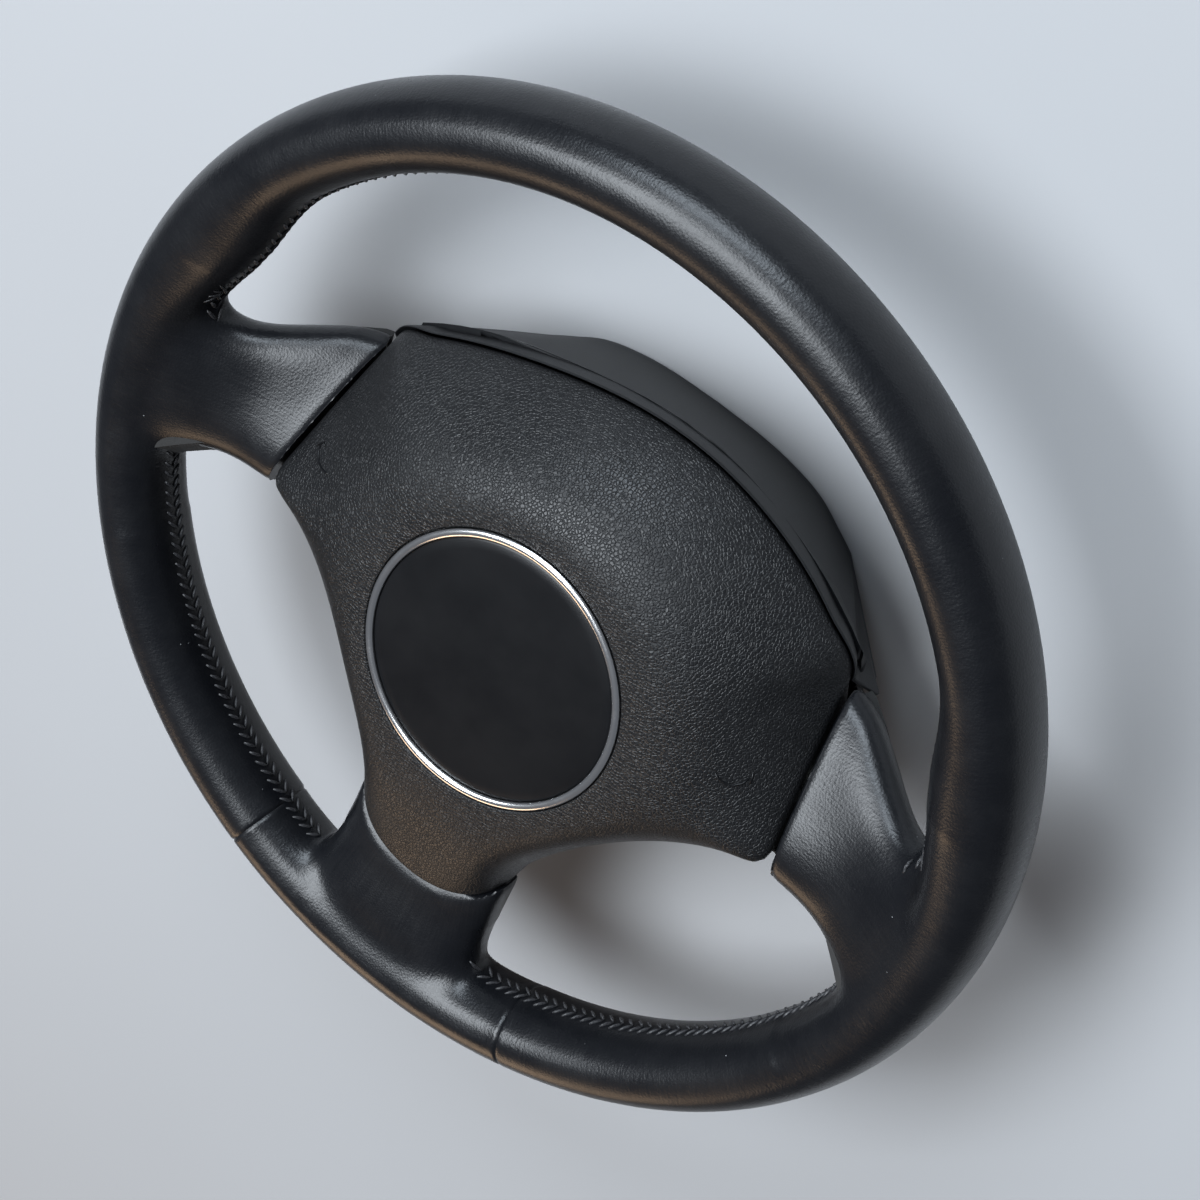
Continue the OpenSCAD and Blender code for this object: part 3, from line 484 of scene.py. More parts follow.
def half_cover():
    """Rows from the top to the foot: x, y, height of the edge, fullness of the dome, foot and lean of the skirt."""
    rows = []
    for i in range(41):
        rows.append((*top_arc(TOP_X * i / 40), TOP_E, 2.2, SKIRT_TOP, 4.0))
    for i in range(1, 13):
        t = i / 12
        p = bezier(((*top_arc(TOP_X), 0), (CORNER[0] - 5, CORNER[1] + 10, 0), (CORNER[0] - 1, CORNER[1] + 6, 0),
                    (*CORNER, 0)), t)
        rows.append((p.x, p.y, mix(TOP_E, CORNER_E, t), 2.2, SKIRT_TOP, mix(4.5, 2.5, t)))
    for i in range(1, 15):
        t = i / 14
        e = mix(CORNER_E, SIDE_E, t ** 0.85)
        rows.append((mix(CORNER[0], SIDE[0], t), mix(CORNER[1], SIDE[1], t), e, 2.2,
                     max(SKIRT_Z, RIM_Z + e - SKIRT_LIP), 0.0))
    for i in range(1, 41):
        t = i / 40
        p = bezier(((*SIDE, 0), (*WAIST[0], 0), (*WAIST[1], 0), (*FOOT, 0)), t)
        low = mix(SKIRT_Z, SKIRT_FOOT, max(0.0, (p.y - SIDE[1]) / (FOOT_Y - SIDE[1])))
        rows.append((p.x, p.y, mix(SIDE_E, FLANK_E, t ** 3), mix(2.2, 4.0, t), low, 0.0))
    for i in range(1, 21):
        t = i / 20
        p = bezier(((*FOOT, 0), (FOOT[0] - 1, FOOT[1] - 9, 0), (14, FOOT_Y, 0), (0, FOOT_Y, 0)), t)
        rows.append((p.x, p.y, mix(FLANK_E, FOOT_E, 1 - (1 - t) ** 3), mix(4.0, 1.3, t),
                     RIM_Z + FOOT_E - SKIRT_LIP, 0.0))
    return rows


def badge_z(y):
    return RIM_Z + CROWN - (y + BADGE_Y) * math.tan(math.radians(TILT))


def eased(rows, rounds):
    """The outline with its corners eased, all values alike."""
    for _ in range(rounds):
        n = len(rows)
        rows = [tuple((rows[i - 1][k] + 2 * rows[i][k] + rows[(i + 1) % n][k]) / 4 for k in range(len(rows[i])))
                for i in range(n)]
    return rows


def left_dip(x):
    """Share of the hollow at the left of the top edge, 1 in its middle."""
    return math.exp(-((x + 42) / 48) ** 2)


def cover_rows():
    """The whole outline, once round from the middle of the top."""
    half = half_cover()
    rows = half + [(-r[0], *r[1:]) for r in half[-2:0:-1]]
    # The module sits a little turned in its opening, seen along its top edge
    for i, r in enumerate(rows):
        if r[1] > CORNER[1]:
            dip = 0.03 * r[0] - EDGE_DIP * left_dip(r[0])
            rows[i] = (r[0], r[1] + dip * (1 - (r[0] / CORNER[0]) ** 6), *r[2:])
    return eased(rows, 3)


# The leather skin: the rim and the three spokes in one blended form
def grip(a):
    """How far the rim stands in for the thumbs at an angle in degrees."""
    return GRIP_H * (bump((a - GRIP_A) / GRIP_SPAN) + bump((abs(a - 180 + GRIP_A)) / GRIP_SPAN))


def rim_form(bm):
    """Oval section spun round the column axis, then pressed inwards at the thumb grips."""
    sides = 44
    ring = bmesh.ops.create_circle(bm, segments=sides, radius=1.0)["verts"]
    for v, (r, h) in zip(ring, oval(sides, 2.1, RIM_W, RIM_T)):
        v.co = Vector(((RIM_R + r) * MM, 0.0, (RIM_Z + h) * MM))
    edges = list({e for v in ring for e in v.link_edges})
    bmesh.ops.spin(bm, geom=ring + edges, cent=(0, 0, 0), axis=(0, 0, 1), angle=2 * math.pi, steps=240,
                   use_merge=True, use_duplicate=False)
    for v in bm.verts:
        radius = math.hypot(v.co.x, v.co.y)
        inward = (RIM_R * MM - radius) / (RIM_W * MM)
        if inward > 0:
            a = math.degrees(math.atan2(v.co.y, v.co.x))
            pull = grip(a if a > -90 else a + 360) * inward * MM / radius
            v.co.x -= v.co.x * pull
            v.co.y -= v.co.y * pull


# Sections of the spokes from the cover to the rim: place on three axes, half width, half height, turn in
# degrees and how far the hub's side is drawn in below
SIDE_KEYS = [[86, 7.5, -29.0, 37, 15, -28, 0.30], [98, 7.5, -26.6, 37, 15, -27, 0.30],
             [109, 6.8, -24.4, 36, 15, -25, 0.26], [121, 4.6, -20, 33.3, 14.5, -20, 0.16],
             [134, 0.8, -14.5, 29.6, 13.5, -13, 0.08], [147, -3.6, -8, 28.2, 14, -7, 0],
             [159, -4.2, -2, 33.4, 14, -3, 0], [171, -4, 0, 38.5, 12, 0, 0]]
FOOT_KEYS = [[104, 0, -7.5, 35.0, 15, 0, 0], [126, 0, -6.5, 35.0, 15, 0, 0], [139, 0, -5, 36, 15.5, 0, 0],
             [150, 0, -3, 38, 16, 0, 0], [160, 0, -1.5, 43, 15.5, 0, 0], [171, 0, 0, 50, 12, 0, 0]]


def spoke_form(bm, keys, turn, flip, steps=30):
    """One spoke, lofted through its sections; turn is its direction in degrees, flip mirrors it."""
    sides = 48
    rings = []
    for i in range(steps + 1):
        x, y, z, wide, high, tilt, drawn = between(keys, (len(keys) - 1) * i / steps)
        c, s = math.cos(math.radians(tilt)), math.sin(math.radians(tilt))
        ring = []
        for n in range(sides):
            ca, sa = math.cos(2 * math.pi * n / sides), math.sin(2 * math.pi * n / sides)
            power = mix(2.8, 3.4, drawn / 0.3) if sa > 0 else 2.5
            a = wide * math.copysign(abs(ca) ** (2 / power), ca)
            b = high * math.copysign(abs(sa) ** (2 / power), sa)
            if a > 0:
                a *= 1 - drawn * (1 - b / high) / 2
            p = Vector((x, y + a * c - b * s, RIM_Z + z + a * s + b * c))
            if flip:
                p.x = -p.x
            ring.append(Matrix.Rotation(math.radians(turn), 3, "Z") @ p)
        rings.append(ring)
    loft(rings, bm)


def add_part(whole, part):
    """Adds one closed form to the others."""
    bmesh.ops.recalc_face_normals(part, faces=part.faces)
    mesh = as_mesh("part", part)
    whole.from_mesh(mesh)
    bpy.data.meshes.remove(mesh)


def cut(bm, point, normal, geom=None):
    """Cuts the form with a plane, clears the side that the normal points to, and closes it."""
    geom = geom or bm.verts[:] + bm.edges[:] + bm.faces[:]
    made = bmesh.ops.bisect_plane(bm, geom=geom, dist=1e-7, plane_co=Vector(point) * MM, plane_no=normal,
                                  clear_outer=True)
    edges = [e for e in made["geom_cut"] if isinstance(e, bmesh.types.BMEdge)]
    bmesh.ops.holes_fill(bm, edges=edges, sides=0)


def near_hub(bm, m):
    """The inner part of one side spoke."""
    faces = [f for f in bm.faces if 60 < m * f.calc_center_median().x / MM < 128
             and abs(f.calc_center_median().y / MM) < 70]
    return faces + list({e for f in faces for e in f.edges}) + list({v for f in faces for v in f.verts})


def foot_curve(x):
    """Place of the cover's foot on the y axis at a distance from the middle."""
    rows = [bezier((FOOT + (0,), (FOOT[0] - 1, FOOT[1] - 9, 0), (14, FOOT_Y, 0), (0, FOOT_Y, 0)), i / 40)
            for i in range(41)]
    if x >= rows[0].x:
        return rows[0].y
    for p, q in zip(rows, rows[1:]):
        if q.x <= x:
            return mix(q.y, p.y, (x - q.x) / max(1e-6, p.x - q.x))
    return FOOT_Y


def plan_offset(rows, i, d):
    """A point of the outline moved outwards in plan."""
    n = len(rows)
    p, q = Vector(rows[(i - 1) % n][:2]), Vector(rows[(i + 1) % n][:2])
    along = (q - p).normalized()
    side = Vector((-along.y, along.x))
    here = Vector(rows[i][:2])
    if side.dot(here - Vector((0, -BADGE_Y))) < 0:
        side = -side
    return here + side * d


def junction(p):
    """True where a spoke runs into the rim, on the hub's side of the rim's middle line."""
    radius = math.hypot(p.x, p.y)
    if not 122 < radius < 172:
        return False
    a = math.degrees(math.atan2(p.y, abs(p.x)))
    side = abs(a + 3) < 22
    foot = abs(a + 90) < 22 and p.y < -133
    return side or foot


def side_end(bm, m):
    """Trims one side spoke along the cover and along the shroud, and rounds the leather's edge."""
    along = Vector((SIDE[0] - CORNER[0], SIDE[1] - CORNER[1], 0)).normalized()
    normal = Vector((-m * along.y, along.x, 0))
    normal *= -1 if normal.x * m < 0 else 1
    # The module sits a little nearer the left spoke
    on = Vector((m * CORNER[0], CORNER[1], 0)) + normal * (GAP + (GAP_RIGHT if m > 0 else GAP_LEFT))
    for off in (2.6, 1.6, 0.9, 0.4):
        bmesh.ops.bisect_plane(bm, geom=near_hub(bm, m), dist=1e-7, plane_co=(on + normal * off) * MM,
                               plane_no=normal)
    cut(bm, on, -normal, near_hub(bm, m))
    slant = Vector((m * math.cos(TRIM_LEAN), 0, math.sin(TRIM_LEAN)))
    foot = Vector((m * TRIM_X, 0, TRIM_Z))
    for off in (1.6, 0.6):
        bmesh.ops.bisect_plane(bm, geom=near_hub(bm, m), dist=1e-7, plane_co=(foot + slant * off) * MM,
                               plane_no=slant)
    cut(bm, foot, -slant, near_hub(bm, m))
    bm.normal_update()
    moves = []
    for v in bm.verts:
        p = v.co / MM
        if not (m * p.x > 60 and abs(p.y) < 75 and p.length < 150):
            continue
        d = min((p - on).dot(normal) / 2.6, (p - foot).dot(slant) / 1.8)
        if 0 <= d < 1:
            outward = v.normal - normal * v.normal.dot(normal)
            if outward.length > 0.2:
                moves.append((v, outward.normalized() * (-0.6 * MM * (1 - d) ** 2.2)))
    for v, move in moves:
        v.co += move


def skin_surface():
    """The whole wrapped form as one even mesh, with its spokes trimmed to the cover and the shroud."""
    whole = bmesh.new()
    rim_form(whole)
    for flip in (False, True):
        part = bmesh.new()
        spoke_form(part, SIDE_KEYS, 0, flip)
        add_part(whole, part)
    for under in (False, True):
        part = bmesh.new()
        spoke_form(part, FOOT_KEYS, -90, False)
        if under:
            cut(part, (0, -113, 0), (0, 1, 0))
            cut(part, (0, 0, RIM_Z + FOOT_E - SKIRT_LIP - 3.5), (0, 0, 1))
        else:
            # The inner end follows the round foot of the cover
            for v in part.verts:
                v.co.y = min(v.co.y, (foot_curve(abs(v.co.x) / MM) - GAP) * MM)
        add_part(whole, part)
    bm = solid_copy(whole, SKIN_MESH, 4)
    # The leather is drawn tight over the hollows where a spoke leaves the rim, then over the shoulders
    hollow = [v for v in bm.verts if junction(v.co / MM)]
    relax(bm, hollow, 34)
    shoulders = [v for v in bm.verts if abs(v.co.x) > 90 * MM and abs(v.co.y) < 62 * MM
                 and math.hypot(v.co.x, v.co.y) < 158 * MM]
    relax(bm, shoulders, 20)
    for m in (-1, 1):
        side_end(bm, m)
    return bm


def under_spokes():
    """The step that each side spoke carries on under the skirt of the cover, down to the shroud."""
    bm = bmesh.new()
    keys = [[*k[:3], k[3] - 0.8, k[4] - 0.8, *k[5:]] for k in SIDE_KEYS[:4]]
    for m in (-1, 1):
        part = bmesh.new()
        spoke_form(part, keys, 0, m < 0, 12)
        cut(part, (m * TRIM_X, 0, TRIM_Z), (-m * math.cos(TRIM_LEAN), 0, -math.sin(TRIM_LEAN)))
        cut(part, (m * 114, 0, 0), (m, 0, 0))
        cut(part, (0, 0, SKIRT_Z - 3.5), (0, 0, 1))
        cut(part, (0, 30, SKIRT_Z - 6), (0, 0.36, 0.93))
        add_part(bm, part)
    return bm


skin = skin_surface()
skin.verts.ensure_lookup_table()
skin_tree = BVHTree.FromBMesh(skin)


def wedge_parts(bm):
    """The skin cut at the two cross seams into the long upper panel and the lower one."""
    upper, lower = bm.copy(), bm.copy()
    for s in (-1, 1):
        a = math.radians(SEAM_A)
        normal = Vector((s * math.cos(a), math.sin(a), 0))
        point = Vector((s * RIM_R * math.sin(a), -RIM_R * math.cos(a), 0))
        for target in (upper, lower):
            for off in (-1.1, -0.45, 0.0, 0.45, 1.1):
                geom = [f for f in target.faces if abs((f.calc_center_median() / MM - point).dot(normal)) < 8]
                geom += list({e for f in geom for e in f.edges}) + list({v for f in geom for v in f.verts})
                bmesh.ops.bisect_plane(target, geom=geom, dist=1e-7, plane_co=(point + normal * off) * MM,
                                       plane_no=normal)
    return upper, lower


def seam_distance(co):
    """Distance from the nearer cross seam, less than zero inside the lower panel."""
    a = math.radians(SEAM_A)
    p = co / MM
    return abs(p.x) * math.cos(a) + p.y * math.sin(a) if p.y < 0 else 100.0


def leather_panels():
    """The two leather panels, each drawn in a little along the cross seams."""
    upper, lower = wedge_parts(skin)
    for bm, name, inside in ((upper, "leather_long_panel", False), (lower, "leather_foot_panel", True)):
        gone = [f for f in bm.faces if (seam_distance(f.calc_center_median()) < 0) != inside]
        bmesh.ops.delete(bm, geom=gone, context="FACES")
        bm.normal_update()
        pulls = []
        for v in bm.verts:
            d = abs(seam_distance(v.co))
            if d < SEAM_REACH:
                pulls.append((v, v.normal.copy() * (-SEAM_DEPTH * MM * (1 - d / SEAM_REACH) ** 1.5)))
        for v, p in pulls:
            v.co += p
        node = "leather_lower" if inside else "leather_upper"
        piece = finish_piece(name, bm, leather, "wheel", flat=32)
        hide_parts(node)


leather_panels()
finish_piece("leather_under_skirt", under_spokes(), leather, "wheel", flat=40)


# The airbag cover: a domed skin between the badge and its outline
def dome_ring(rows, s, inset=0.0, drop=0.0):
    """Ring on the dome: s runs from the badge (0) to the outline (1)."""
    ring = []
    for x, y, edge, power, low, lean in rows:
        v = Vector((x, y + BADGE_Y))
        d = v.normalized()
        start = RING_R + 1.0
        r = mix(start, v.length - inset, s)
        top = badge_z(d.y * start - BADGE_Y)
        ring.append((d.x * r, d.y * r - BADGE_Y, mix(RIM_Z + edge, top, 1 - s ** power) - drop))
    return ring


def badge_circle(rows, r, drop):
    """Circle about the badge, below its tilted plane by drop."""
    ring = []
    for row in rows:
        d = Vector((row[0], row[1] + BADGE_Y)).normalized()
        y = d.y * r - BADGE_Y
        ring.append((d.x * r, y, badge_z(y) - drop))
    return ring


def wall_circle(rows, t, drop, inset):
    """Ring on the skirt: t runs from the edge (0) to its rear edge (1)."""
    ring = []
    for x, y, edge, power, low, lean in rows:
        v = Vector((x, y + BADGE_Y))
        q = v * (1 - (inset + t * lean) / v.length)
        ring.append((q.x, q.y - BADGE_Y, low if t == 1 else max(RIM_Z + edge - drop, low + 0.6)))
    return ring


def airbag_skin():
    """The cover as one closed shell: recess of the badge, dome, round edge, skirt and inside."""
    rows = cover_rows()
    soft = eased(rows, 70)
    dome_rings, dome_end, edge_reach = 26, 0.965, 1.7

    def at(share):
        """The outline as the dome feels it: soft near the badge, sharp at the edge."""
        t = smooth((share - 0.45) / 0.55)
        return [tuple(mix(a, b, t) for a, b in zip(p, q)) for p, q in zip(soft, rows)]
    outer = [badge_circle(soft, RING_R + 0.5, d) for d in (RECESS, 0.9, 0.35)]
    outer += [badge_circle(soft, RING_R + 0.65, 0.1)]
    for i in range(dome_rings + 1):
        share = (i / dome_rings) ** 0.9
        outer.append(dome_ring(at(share), share * dome_end))
    for i in range(1, 6):
        phi = math.radians(18 * i)
        f = 1 - (1 - math.sin(phi)) * 0.8
        down = edge_reach * (1 - math.cos(phi))
        outer.append([(mix(a[0], b[0], f), mix(a[1], b[1], f), mix(a[2], b[2], f) - down)
                      for a, b in zip(dome_ring(rows, dome_end), dome_ring(rows, 1.0))])
    outer += [wall_circle(rows, 0.3, 4.5, 0), wall_circle(rows, 1, 0, 0)]
    inner = [wall_circle(rows, 1, 0, COVER_T), wall_circle(rows, 0.6, 5 + COVER_T, COVER_T)]
    inner += [dome_ring(at(s), s, COVER_T, COVER_T) for s in (0.95, 0.85, 0.7, 0.5, 0.25, 0.0)]
    inner += [badge_circle(soft, RING_R - 2, RECESS + COVER_T)]
    return loft(outer + inner)


cover_bm = airbag_skin()
cover_tree = BVHTree.FromBMesh(cover_bm)
cover_piece = finish_piece("airbag_skin", cover_bm, cover_skin, "airbag_module", flat=50)
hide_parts("airbag_cover")


# Badge: chrome ring and plain satin disc, turned about the tilted axis
def turned(profile, steps):
    """A profile of radius and height, spun round and set on the badge's seat."""
    bm = bmesh.new()
    verts = [bm.verts.new((r * MM, 0, z * MM)) for r, z in profile]
    edges = [bm.edges.new(pair) for pair in zip(verts, verts[1:])]
    bmesh.ops.spin(bm, geom=verts + edges, cent=(0, 0, 0), axis=(0, 0, 1), angle=2 * math.pi, steps=steps,
                   use_merge=True, use_duplicate=False)
    seat = (Matrix.Translation(Vector((0, -BADGE_Y, badge_z(-BADGE_Y))) * MM)
            @ Matrix.Rotation(-math.radians(TILT), 4, "X"))
    bmesh.ops.transform(bm, matrix=seat, verts=bm.verts)
    return bm


ring_profile = [(RING_R - RING_W, -RECESS + 0.35), (RING_R, -RECESS + 0.35), (RING_R, -0.35)]
ring_profile += [(RING_R - RING_W / 2 + RING_W / 2 * math.cos(a), -0.35 + 1.0 * math.sin(a))
                 for a in (math.pi * i / 14 for i in range(1, 14))]
ring_profile += [(RING_R - RING_W, -0.35), (RING_R - RING_W, -RECESS + 0.35)]
ring_piece = finish_piece("badge_ring_bright", turned(ring_profile, 220), chrome, "airbag_module",
                          merge=0.000005, flat=60)
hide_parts("badge_ring")
edge_r = RING_R - RING_W - 0.25
disc_profile = [(0.0, -RECESS + 0.35), (edge_r, -RECESS + 0.35), (edge_r, -0.95), (edge_r - 0.2, -0.72),
                (edge_r - 0.8, -0.5)]
disc_profile += [(edge_r * (1 - i / 12), -0.5 + 0.95 * math.sin(math.pi / 2 * i / 12)) for i in range(1, 12)]
disc_profile += [(0.0, 0.45)]
disc_piece = finish_piece("badge_disc_bare", turned(disc_profile, 160), disc_plastic, "airbag_module",
                          merge=0.000005, flat=50)
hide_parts("badge_disc")


# Rear shroud: its tub, drawn in under a smooth top wall that meets the edge of the cover
REAR = ((0, 64), (20, 63.3), (36, 61), (49, 57), (60, 50.4), (67.5, 45.5))
REAR_Z = 3.0
TIP = (108.0, 31.5, -46.0)


def rear_at(f):
    """Point of the rear outline; f runs from the middle (0) to its corner (1)."""
    return between(REAR, (len(REAR) - 1) * f)


def wall_columns(m):
    """Front and rear point of the top wall for each column, from the middle to the tip beside the spoke."""
    rows = cover_rows()
    if m < 0:
        rows = [(-r[0], *r[1:]) for r in rows[:1] + rows[:0:-1]]
    right = [i for i, r in enumerate(rows) if r[0] >= -0.01 and r[1] > CORNER[1] - 0.5]
    path = [0.0]
    for i, j in zip(right, right[1:]):
        path.append(path[-1] + (Vector(rows[j][:2]) - Vector(rows[i][:2])).length)
    columns = []
    for i, d in zip(right, path):
        f = d / path[-1]
        x, y = rear_at(f ** 0.92)
        columns.append((i, rows[i][2], Vector((x, y, REAR_Z - RIM_Z)), None))
    last = columns[-1]
    corner, rear, tip = Vector((*CORNER, CORNER_E)), Vector((*REAR[-1], REAR_Z - RIM_Z)), Vector(TIP)
    for k in range(1, 9):
        u = k / 9
        columns.append((last[0], last[1], rear.lerp(tip, u ** 0.8 * 0.96), corner.lerp(tip, u)))
    return rows, columns


def top_wall():
    """The wall as a closed strip: round lip, outside, rear edge and inside."""
    rings = []
    stations = [0.004, 0.012, 0.03, 0.07, 0.13, 0.22, 0.34, 0.48, 0.62, 0.76, 0.88, 0.96, 1.0]
    for m in (-1, 1):
        rows, columns = wall_columns(m)
        for i, edge, rear, seam in (columns[::-1] if m < 0 else columns[1:]):
            if seam is None:
                q = [plan_offset(rows, i, d) for d in (GAP, GAP + 0.12, GAP + 0.35, GAP + 0.5)]
                inner = plan_offset(rows, i, GAP - 0.35)
                front = [(inner.x, inner.y, edge - 2.4), (q[0].x, q[0].y, edge - 1.5), (q[1].x, q[1].y, edge - 1.2),
                         (q[2].x, q[2].y, edge - 1.2), (q[3].x, q[3].y, edge - 1.6)]
                front = [Vector(p) for p in front]
                start = front[-1] + Vector((0, 0, -0.25))
            else:
                front = [seam + Vector((-1.6, -1.2, -2.4)), seam + Vector((-1.2, -0.6, -1.2)),
                         seam + Vector((-0.6, 0, -0.2)), seam + Vector((-0.2, 0.4, -0.4)),
                         seam + Vector((0, 0.6, -0.9))]
                start = seam + Vector((0.1, 0.6, -1.6))
            path = list(front)
            swell = 0.9 if seam is None else 0.3
            for t in stations:
                p = start.lerp(rear, t)
                side = Vector((p.x, p.y + BADGE_Y, 0)).normalized()
                path.append(p + side * (swell * math.sin(math.pi * t) * (1 - 0.4 * t)))
            side = Vector((rear.x, rear.y + BADGE_Y, 0)).normalized()
            low = (rear.z + RIM_Z) if seam is None else REAR_Z
            path += [rear - side * 0.7 - Vector((0, 0, low * 0.72)), rear - side * 2.4 - Vector((0, 0, low)),
                     rear - side * 5.0 - Vector((0, 0, low - 1.2))]
            path += [rear - side * 4.4 + Vector((0, 0, 1.5))]
            path += [start.lerp(rear, t) - side * 1.3 for t in (0.7, 0.45, 0.25, 0.12, 0.05)]
            rings.append([(m * p.x, p.y, p.z + RIM_Z) for p in path])
    return loft(rings)


def drawn_in(bm):
    """The tub's own top wall steps back inside the smooth one, further at the left, and down at its edge."""
    wall_y, corner_x, fall = 44.0, 67, 0.37
    back, back_left, edge_z, down = 4.6, 5.0, 50, 9.0
    for v in bm.verts:
        p = v.co / MM
        line = wall_y if abs(p.x) < corner_x else wall_y - fall * (abs(p.x) - corner_x)
        if p.y > line:
            side = Vector((p.x, p.y + BADGE_Y, 0)).normalized()
            v.co -= side * (back + back_left * left_dip(p.x)) * MM
            if p.z > edge_z:
                v.co.z -= down * MM


def shroud_pieces():
    """The tub from the CAD solid, drawn in, and the smooth wall over it."""
    bm = bmesh.new()
    bm.from_mesh(nodes["rear_shroud"].data)
    bmesh.ops.remove_doubles(bm, verts=bm.verts, dist=0.00001)
    drawn_in(bm)
    mesh = as_mesh("shroud_tub", bm)
    for f in mesh.polygons:
        f.use_smooth = True
    mesh.set_sharp_from_angle(angle=math.radians(22))
    mesh.materials.clear()
    mesh.materials.append(shroud_plastic)
    tub = bpy.data.objects.new("shroud_tub", mesh)
    scene.collection.objects.link(tub)
    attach(tub, "wheel")
    finish_piece("shroud_top_wall", top_wall(), shroud_plastic, "wheel", flat=55)
    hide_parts("rear_shroud")


shroud_pieces()


def horn_spring_coils():
    """The springs again, as one merged piece of coils set in place and left off the bodies."""
    bm = bmesh.new()
    bm.from_mesh(nodes["horn_springs"].data)
    bmesh.ops.remove_doubles(bm, verts=bm.verts, dist=0.00001)
    coils = finish_piece("horn_spring_coils", bm, nodes["horn_springs"].data.materials[0], "wheel",
                         merge=0, flat=40, ride=False)
    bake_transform(coils)
    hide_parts("horn_springs")


horn_spring_coils()


# Threads, stitches and embossed lines: round bars laid along a surface
def bar(bm, path, radius, sides, ends, up=Vector((0, 0, 1))):
    """A bar through the points of a path; its ends are drawn in to a share of its radius."""
    rings = []
    last = len(path) - 1
    for i, p in enumerate(path):
        ahead = (path[min(i + 1, last)] - path[max(i - 1, 0)]).normalized()
        across = ahead.cross(up).normalized()
        over = across.cross(ahead)
        r = radius * (ends if i in (0, last) else 1.0)
        turns = [2 * math.pi * k / sides for k in range(sides)]
        rings.append([p + across * (r * math.cos(a)) + over * (r * math.sin(a)) for a in turns])
    loft(rings, bm)


def wall_hit(a, z):
    """Place and direction of the rim's inner wall at an angle and a height over the rim's middle."""
    out = Vector((math.cos(a), math.sin(a), 0))
    start = (out * RIM_R + Vector((0, 0, RIM_Z + z))) * MM
    hit = skin_tree.ray_cast(start, -out, 0.05)
    if hit[0] is None:
        return None
    place = hit[0] / MM
    depth = RIM_R - math.hypot(place.x, place.y)
    return (place, hit[1]) if depth < RIM_W + 7.5 else None


def rim_lacing():
    """Slanted stitches on both sides of the seam along the rim's inner wall, tied in pairs over the seam."""
    bm = bmesh.new()
    pitch = 2 * math.pi / LACING_PAIRS
    rng = random.Random(7)
    for i in range(LACING_PAIRS):
        a = i * pitch
        for side in (-1, 1):
            marks = []
            slip = rng.uniform(-0.06, 0.06)
            for f in (0.0, 0.35, 0.7, 1.0):
                hit = wall_hit(a + pitch * (0.95 * f + slip), SEAM_Z + side * mix(3.8, 0.1, f))
                if hit:
                    marks.append(hit[0] + hit[1] * (0.02 + 0.34 * math.sin(math.pi * mix(0.08, 0.8, f))))
            if len(marks) == 4:
                bar(bm, marks, LACING_R, 6, 0.5, Vector((0.1, 0.2, 1)).normalized())
    return bm


def crotch_threads():
    """Crossed ends of the lacing where it is tied off beside each spoke."""
    bm = bmesh.new()
    rng = random.Random(11)
    for angle, count, low, high in ((13.6, 6, 2.0, 9.5), (165.6, 4, 1.0, 6.5)):
        for k in range(count):
            marks = []
            lean = mix(-1.0, 1.0, k / (count - 1)) + rng.uniform(-0.25, 0.25)
            for f in (0.0, 0.33, 0.66, 1.0):
                hit = wall_hit(math.radians(angle) + 0.026 * lean * f + 0.004 * (k - count / 2), mix(low, high, f))
                if hit:
                    marks.append(hit[0] + hit[1] * (0.35 * math.sin(math.pi * mix(0.1, 0.95, f))))
            if len(marks) == 4:
                bar(bm, marks, 0.36, 6, 0.5, Vector((0.3, 0.2, 1)).normalized())
    return bm


finish_piece("rim_lacing", rim_lacing(), thread, "wheel", merge=0)
finish_piece("crotch_threads", crotch_threads(), thread, "wheel", merge=0)


HORN_LINES = [[(82.9, 6.3), (85.0, 4.6), (87.4, 3.9), (89.7, 4.3), (91.6, 5.8), (92.5, 8.2)],
              [(92.1, 10.8), (93.1, 8.7), (93.5, 6.1)],
              [(-99.0, 5.9), (-97.8, 3.6), (-95.4, 2.1), (-92.5, 2.0), (-89.9, 2.6), (-87.9, 3.7)],
              [(-99.9, 4.3), (-98.0, 7.1), (-96.5, 6.9)]]


def horn_lines():
    """A small raised horn line on each side of the cover."""
    bm = bmesh.new()
    for places in HORN_LINES:
        path = []
        for x, y in places:
            place, facing = cover_tree.ray_cast(Vector((x, y, 140.0)) * MM, Vector((0, 0, -1)), 0.3)[:2]
            if place is not None:
                path.append(place / MM + facing * 0.12)
        if len(path) > 1:
            bar(bm, path, 0.38, 8, 0.6)
    return bm


finish_piece("horn_lines", horn_lines(), disc_plastic, "airbag_module", merge=0)


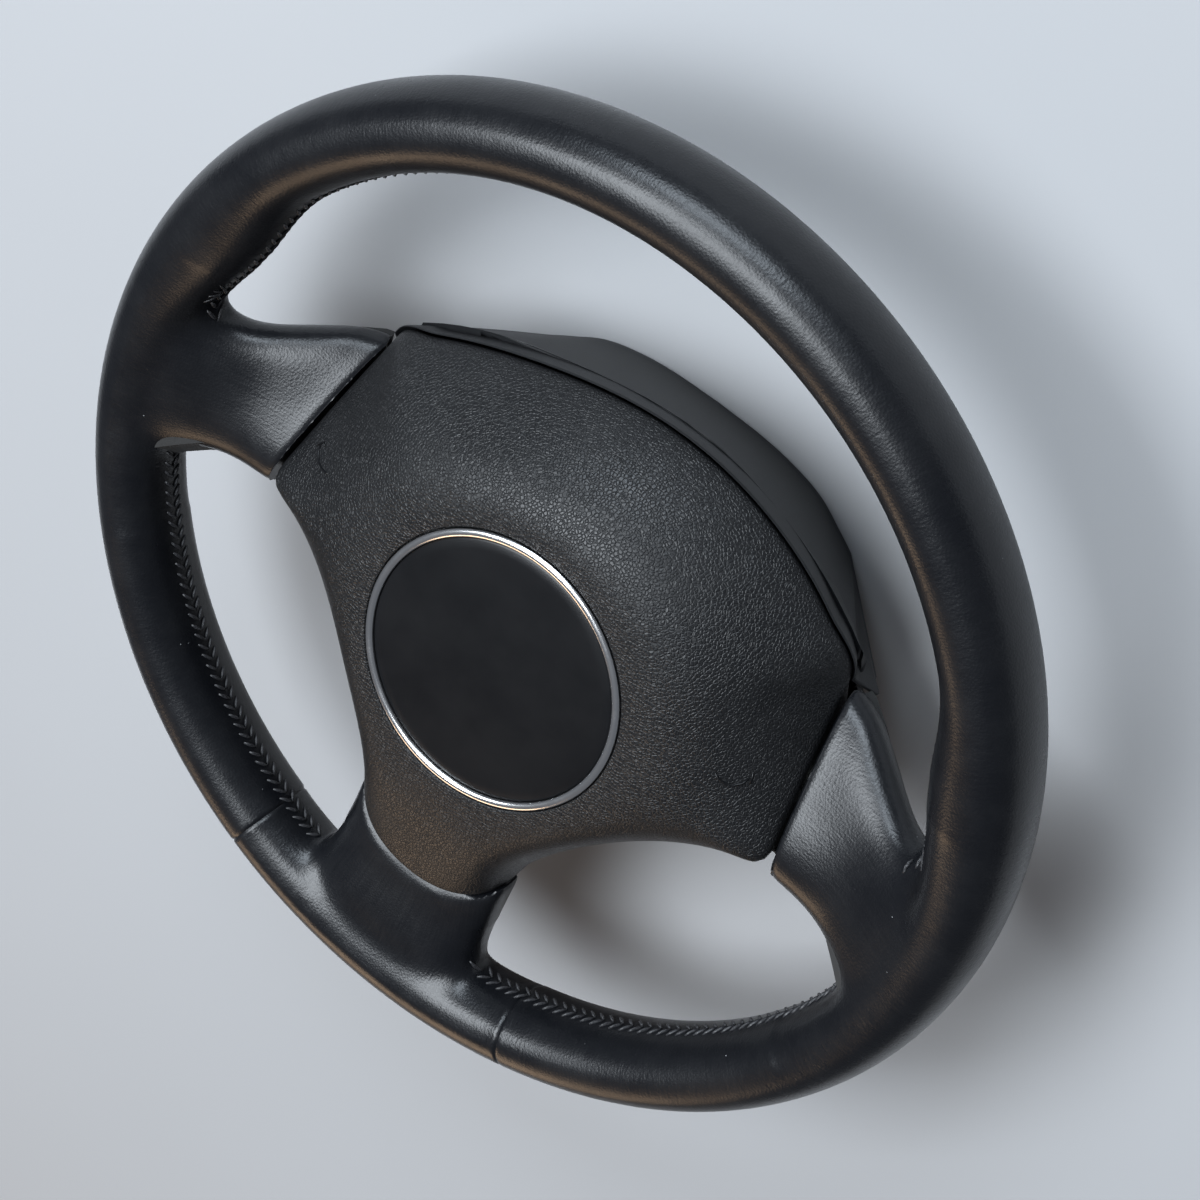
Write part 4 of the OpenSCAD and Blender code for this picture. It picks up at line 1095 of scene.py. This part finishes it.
# Camera at the photograph's viewing angle
cam_data = bpy.data.cameras.new("camera")
cam_data.lens = 69.0
cam_data.sensor_width = 36.0
cam_data.clip_start = 0.01
camera = bpy.data.objects.new("camera", cam_data)
scene.collection.objects.link(camera)
right = Vector((0.7688, 0.3335, -0.5456))
down = Vector((0.591, -0.6963, 0.4073))
ahead = Vector((-0.2441, -0.6356, -0.7324))
turn =Matrix((right, -down, -ahead)).transposed()
camera.matrix_world = Matrix.Translation((0.2040, 0.5104, 0.5525 + RIM_Z * MM)) @ turn.to_4x4()
scene.camera = camera

# Floor and light
floor_bm = bmesh.new()
bmesh.ops.create_grid(floor_bm, x_segments=2, y_segments=2, size=6.0)
floor = bpy.data.objects.new("floor", as_mesh("floor", floor_bm))
scene.collection.objects.link(floor)
fs = Shader("pale_floor")
soft = fs.noise(fs.place(), 3.0, 2.0)
fs.put("Base Color", fs.blend(soft, (0.37, 0.375, 0.385), (0.40, 0.405, 0.415)))
fs.put("Roughness", 0.9)
floor.data.materials.append(fs.mat)

world = bpy.data.worlds.new("studio")
scene.world = world
world.use_nodes = True
world.node_tree.nodes["Background"].inputs[0].default_value = (0.78, 0.84, 0.95, 1.0)
world.node_tree.nodes["Background"].inputs[1].default_value = 0.14


def lamp(name, at, look, size, power, tint):
    """A rectangular lamp of a size in metres, turned to look at a point."""
    data = bpy.data.lights.new(name, "AREA")
    data.shape = "RECTANGLE"
    data.size, data.size_y = size
    data.energy = power
    data.color = tint
    obj = bpy.data.objects.new(name, data)
    scene.collection.objects.link(obj)
    obj.location = at
    obj.rotation_euler = (Vector(look) - Vector(at)).to_track_quat("-Z", "Y").to_euler()


lamp("overhead", (-0.62, 0.50, 2.05), (0, 0, 0.05), (1.45, 1.25), 74, (0.88, 0.94, 1.0))
lamp("window", (-0.55, 1.95, 1.30), (0, 0, 0.08), (1.1, 0.8), 32, (0.80, 0.90, 1.0))
lamp("warm_fill", (-0.25, -1.9, 0.75), (0, 0, 0.08), (1.2, 0.7), 7, (1.0, 0.70, 0.45))

scene.view_settings.view_transform = "Standard"
